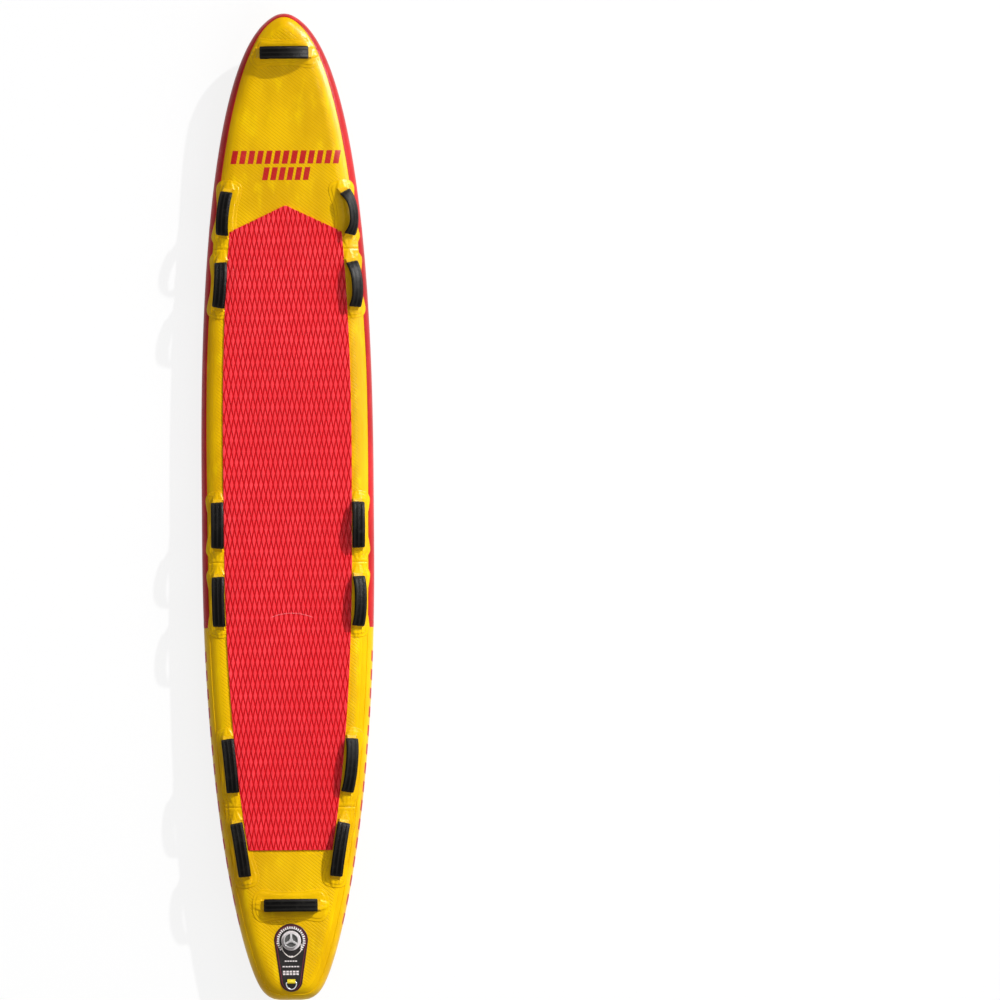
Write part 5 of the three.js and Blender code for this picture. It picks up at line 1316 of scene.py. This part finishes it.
def d_path(width, reach, corner=3.4):
    """Centre line of a D-ring's wire: its bar's two corners, the wide arc and the bar."""
    half, depth = width / 2 - RING_WIRE, reach - 2 * RING_WIRE
    first, last = np.linspace(math.pi / 2, 0, 9), np.linspace(math.pi, math.pi / 2, 9)
    arc = np.linspace(0, -math.pi, 49)[1:-1]
    bar_x = np.linspace(-half + corner, half - corner, 11)[1:-1]
    arcs = [np.stack([half - corner + corner * np.cos(first), -corner + corner * np.sin(first)], 1),
            np.stack([half * np.cos(arc), -corner + (depth - corner) * np.sin(arc)], 1),
            np.stack([-half + corner + corner * np.cos(last), -corner + corner * np.sin(last)], 1)]
    points = np.concatenate(arcs + [np.stack([bar_x, 0 * bar_x], 1)])
    return np.column_stack([points, np.zeros(len(points))])


def add_ring(name, y, face, along, rise, width, reach, tilt, nodes, body, look, steel, sides=28):
    """A D-ring at its rest tilt, and the webbing that goes once round its bar."""
    place = skin_frame(0, y, along, face, rise)
    ring = swept(d_path(width, reach), 20, RING_WIRE, closed=True)
    ring = ring @ np.array(Matrix.Rotation(tilt, 3, "X")).T + [0, 0, RING_AXLE]
    pile = Pile()
    pile.tube(placed(ring, place), closed=True)
    pile.piece(name + "_wire", steel, body, "steel", [nodes[1]], smooth=60)
    turn = np.linspace(-math.pi / 2, -math.pi * 1.5, 25)
    under = [(10.6, 1.12), (8, 1.12), (5, 1.12), (2.5, 1.12)]
    curl = np.stack([3.2 * np.cos(turn), RING_AXLE + 3.2 * np.sin(turn)], 1)
    over = [(1.6, 7.2), (3.2, 6.4), (4.8, 5.1), (6.2, 3.9), (7.6, 3.1), (9.2, 2.75), (10.6, 2.75)]
    line = np.concatenate([under, curl, over])
    path = np.column_stack([0 * line[:, 0], line])
    across = np.array([[1.0, 0, 0]])
    u, v = rectangle_section((width - 10.6) / 2, 0.78, sides)
    rings = section_rings(path, across, np.cross(across, unit(np.gradient(path, axis=0))), u, v)
    pile = Pile()
    pile.tube(placed(rings, place), run=np.repeat(length_along(path), sides), side=np.tile(u, len(path)))
    pile.piece(name + "_webbing", look, "board", "yellow_webbing", [nodes[0]])


def add_rings():
    """The leash ring on the tail, and the tow ring under the nose with its round patch."""
    steel = moulded_look("ring_steel", rgb(200, 203, 208), rgb(228, 230, 233), rgb(116, 118, 122), 0.2, metallic=1.0)
    web = webbing_look("loop_weave", rgb(234, 210, 28), rgb(246, 228, 60), rgb(196, 168, 8))
    axle = RAIL + LABEL_RISE + RING_AXLE
    add_ring("leash", LEASH_Y, 1, (0, 1, 0), LABEL_RISE, 37, 27, math.acos((RAIL + LABEL_RISE + 2.2) / axle),
             ("leash_ring_loop", "leash_d_ring"), "leash_ring", web, steel)
    add_ring("tow", TOW_Y, -1, (0, -1, 0), 2.7, 48, 38, math.asin(2.1 / 36.1), ("tow_ring_loop", "tow_d_ring"),
             "tow_ring", web, steel)

    def rise(x, y, inset):
        return 0.7 + 0.8 * np.clip(inset / 0.8, 0, 1) + 1.2 * ramp((inset - 9.2) / 1.6)

    outline = racetrack(TOW_Y, TOW_PATCH_RADIUS, TOW_PATCH_RADIUS)
    outline = outline[np.linalg.norm(np.diff(outline, axis=0, append=outline[:1]), axis=1) > 0.01]
    look = coated_fabric("tow_patch_coating", *YELLOW)
    pile = sheet_pile(outline, rise, face=-1, insets=(0.4, 0.9, 4, 9, 10, 11))
    pile.piece("tow_patch_disc", look, "board", "yellow_skin", ["tow_ring_patch"])


# Fin box

def add_fin_box():
    look = coated_fabric("fin_patch_coating", *YELLOW, uprights=9.0)

    def patch_sheet(x, y, inset):
        return 0.8 + 1.0 * np.clip(inset / 0.8, 0, 1) + 0.1 * np.sin(x / 14) * np.sin(y / 22)

    pile = sheet_pile(racetrack(FIN_Y, *FIN_PATCH), patch_sheet, face=-1, spacing=7, insets=(0.4, 0.9, 3))
    pile.piece("fin_patch_sheet", look, "board", "yellow_skin", ["fin_box_patch"])

    def collar(x, y, inset):
        swell = 0.35 * np.sin(y / 19) * np.sin(x / 11) * np.clip((inset - 6) / 10, 0, 1)
        return 2.0 + 6.0 * np.sin(np.clip(inset / 6.5, 0, 1) * math.pi / 2) + swell

    pile = sheet_pile(racetrack(FIN_Y, *FIN_COLLAR), collar, face=-1, spacing=4.5,
                      insets=(0.5, 1.2, 2.2, 3.4, 4.8, 6.4, 8.5), foot=1.2)
    obj = pile.piece("fin_collar_swell", look, "board", "yellow_skin", ["fin_box_collar"])
    place = skin_frame(0, FIN_Y, (0, 1, 0), -1)
    u, v = rectangle_section(26.9, 203.4, 64, 0.16)
    hole = Pile()
    hole.tube(placed(np.array([np.stack([u, v, 0 * u + z], 1) for z in (-6, 20)]), place))
    boolean(obj, hole)
    shade(obj, 45)
    slot_floor = float(place[3] @ place[0])
    # The box is painted darker towards the skin, down into its slot: painted shade.
    plastic = moulded_look("fin_box_plastic", rgb(26, 25, 26), rgb(44, 43, 43), rgb(10, 10, 10), 0.4,
                           gradient=(tuple(place[3]), slot_floor + 4, slot_floor + 17, rgb(9, 9, 9)))
    # The box keeps its CAD shape, with its edges eased
    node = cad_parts["fin_box"]
    node.modifiers.new("weld", "WELD").merge_threshold = 1e-5
    bevel = node.modifiers.new("edges", "BEVEL")
    bevel.width, bevel.segments, bevel.angle_limit = 0.0008, 2, math.radians(28)
    bevel.limit_method, bevel.harden_normals = "ANGLE", False
    dress("fin_box", plastic)


def dress(name, material):
    """Gives a part that keeps its CAD shape its material."""
    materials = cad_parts[name].data.materials
    materials.clear()
    materials.append(material)


def add_hidden():
    """The parts inside the chamber."""
    dress("drop_stitch_core", liner_look("drop_threads", rgb(216, 212, 200), rgb(230, 226, 216), rgb(170, 166, 154)))
    dress("rail_liner", liner_look("rail_scrim", rgb(210, 206, 194), rgb(226, 222, 212), rgb(150, 146, 136)))
    dress("valve_back_nut",
          moulded_look("back_nut_plastic", rgb(150, 149, 147), rgb(176, 175, 172), rgb(98, 96, 94), 0.38))


# Plain printed marks

def print_look(name, plain, pale, deep):
    """Thin printed ink that shows the rows of stitches under it."""
    look = Finish(name, Specular_IOR_Level=0.18)
    grain, wear_and_groove_shade = look.noise(1.2, 2), look.noise(22, 4)
    rows = look.smooth(look.near(look.along(0.616, 0.788), 9.0), 0.02, 0.2, 1.0, 0.0)
    tone = look.blend(look.smooth(wear_and_groove_shade, 0.45, 0.8), plain, pale)
    for pattern in (grain, rows):
        tone = look.tint(tone, deep, pattern, 0.25)
    return look.finished(tone, [(grain, 0.12), (wear_and_groove_shade, 0.3), (look.noise(70), 0.4)], [(grain, 0.03), (rows, -0.2)])


def on_skin(face, base=0.0):
    """Lays a flat mark on the deck or the bottom, over what already lies there."""
    return lambda x, y, rise: np.stack([x, y, laid_z(x, y, base + rise, face)], 2)


def on_rail(side):
    """Lays a flat mark on the stern band: its width up the rail in degrees, its length along Y."""
    def place(angle, y, rise):
        flat, turn = y.ravel(), np.radians(angle.ravel())
        out = unit(edge_out(flat))
        reach = (BAND_OUTER + rise) * np.cos(turn)
        x = side * (edge_half(flat) + out[:, 0] * reach)
        z = RAIL + (BAND_OUTER + rise) * np.sin(turn) + lift(flat)
        return np.stack([x, flat + out[:, 1] * reach, z], 1).reshape(*angle.shape, 3)
    return place


def bar(x, y, width, height, slant=0):
    return [(x, y), (x + width, y), (x + width + slant, y + height), (x + slant, y + height)]


def add_marks():
    """Plain bars, chevrons, blocks and ticks where the real board is printed."""
    red = print_look("red_print", rgb(190, 22, 18), rgb(206, 40, 32), rgb(146, 10, 9))
    bars = [bar(-177 + i * 27.7, NOSE - 487, 18.5, 43, 8) for i in range(13)]
    bars += [bar(-75 + i * 26.4, NOSE - 540, 18, 42, 8) for i in range(6)]
    chevrons = [[(0, y), (side * 91, y - 78), (side * 91, y - 154), (0, y - 76)]
                for y in NOSE - 928 - 200 * np.arange(6) for side in (-1, 1)]
    blocks = [[(-32, y), (-32, y + 34), (22, y + 46), (22, y + 12)] for y in NOSE - 2110 - 60.0 * np.arange(15)]
    printed = [("deck_print_bars", bars, on_skin(1), 4, 10), ("bottom_print_chevrons", chevrons, on_skin(-1), 10, 10)]
    printed += [("rail_print_bars_" + name, blocks, on_rail(side), 6, 12) for side, name in SIDES]
    for name, tiles, place, columns, rows in printed:
        tiles_pile(tiles, place, columns, rows).piece(name, red, "board", "red_band", smooth=60)
    pale = print_look("label_print_marks", rgb(236, 226, 226), rgb(250, 244, 244), rgb(196, 184, 184))
    count, pitch, ring_radius, half_width = 28, 9.6, 38.5, 2.3
    centre, ticks = np.array([0, VALVE_Y]), []
    for i in range(count):
        t = math.radians(90 + (i - (count - 1) / 2) * pitch)
        out, side = np.array([math.cos(t), math.sin(t)]), np.array([-math.sin(t), math.cos(t)]) * half_width
        foot, head = centre + out * ring_radius, centre + out * (ring_radius + (7.5 if i % 3 else 8.8))
        ticks.append([foot - side, foot + side, head + side, head - side])
    for y, half, count, tall in ((-54, 7, 2, 5), (-68, 21, 5, 3.6), (-86, 28, 6, 4), (-103, 27, 5, 5.5),
                                 (-111, 27, 5, 5.5)):
        ticks += [bar(-half + k * half * 2 / count, VALVE_Y + y, half * 1.5 / count, tall) for k in range(count)]
    marks = tiles_pile(ticks, on_skin(1, LABEL_RISE + LABEL_WAVE), 2, 3, rise=0.12, foot=-0.5)
    marks.piece("label_ticks", pale, "board", "label", smooth=60)


bpy.context.scene.view_settings.view_transform = "Standard"
add_camera()
add_tether()
add_world()
add_lamp("sun", "SUN", 3.2, (5.9, 6.6, 5.2), angle=math.radians(1.3))
add_lamp("strip", "AREA", 60, (2.6, 0.4, 2.0), aim=(0, 0.4, 0.1), shape="RECTANGLE", size=0.8, size_y=6)
glint = add_lamp("glint", "AREA", 680, (2.6, 2.2, 1.1), aim=(0.2, 1.15, 0.15), shape="RECTANGLE", size=1.4,
                 size_y=1.5)
glint.visible_diffuse = False
add_floor()
add_skins()
add_bands()
add_pad()
add_handles()
add_valve()
add_label()
add_rings()
add_fin_box()
add_hidden()
add_marks()
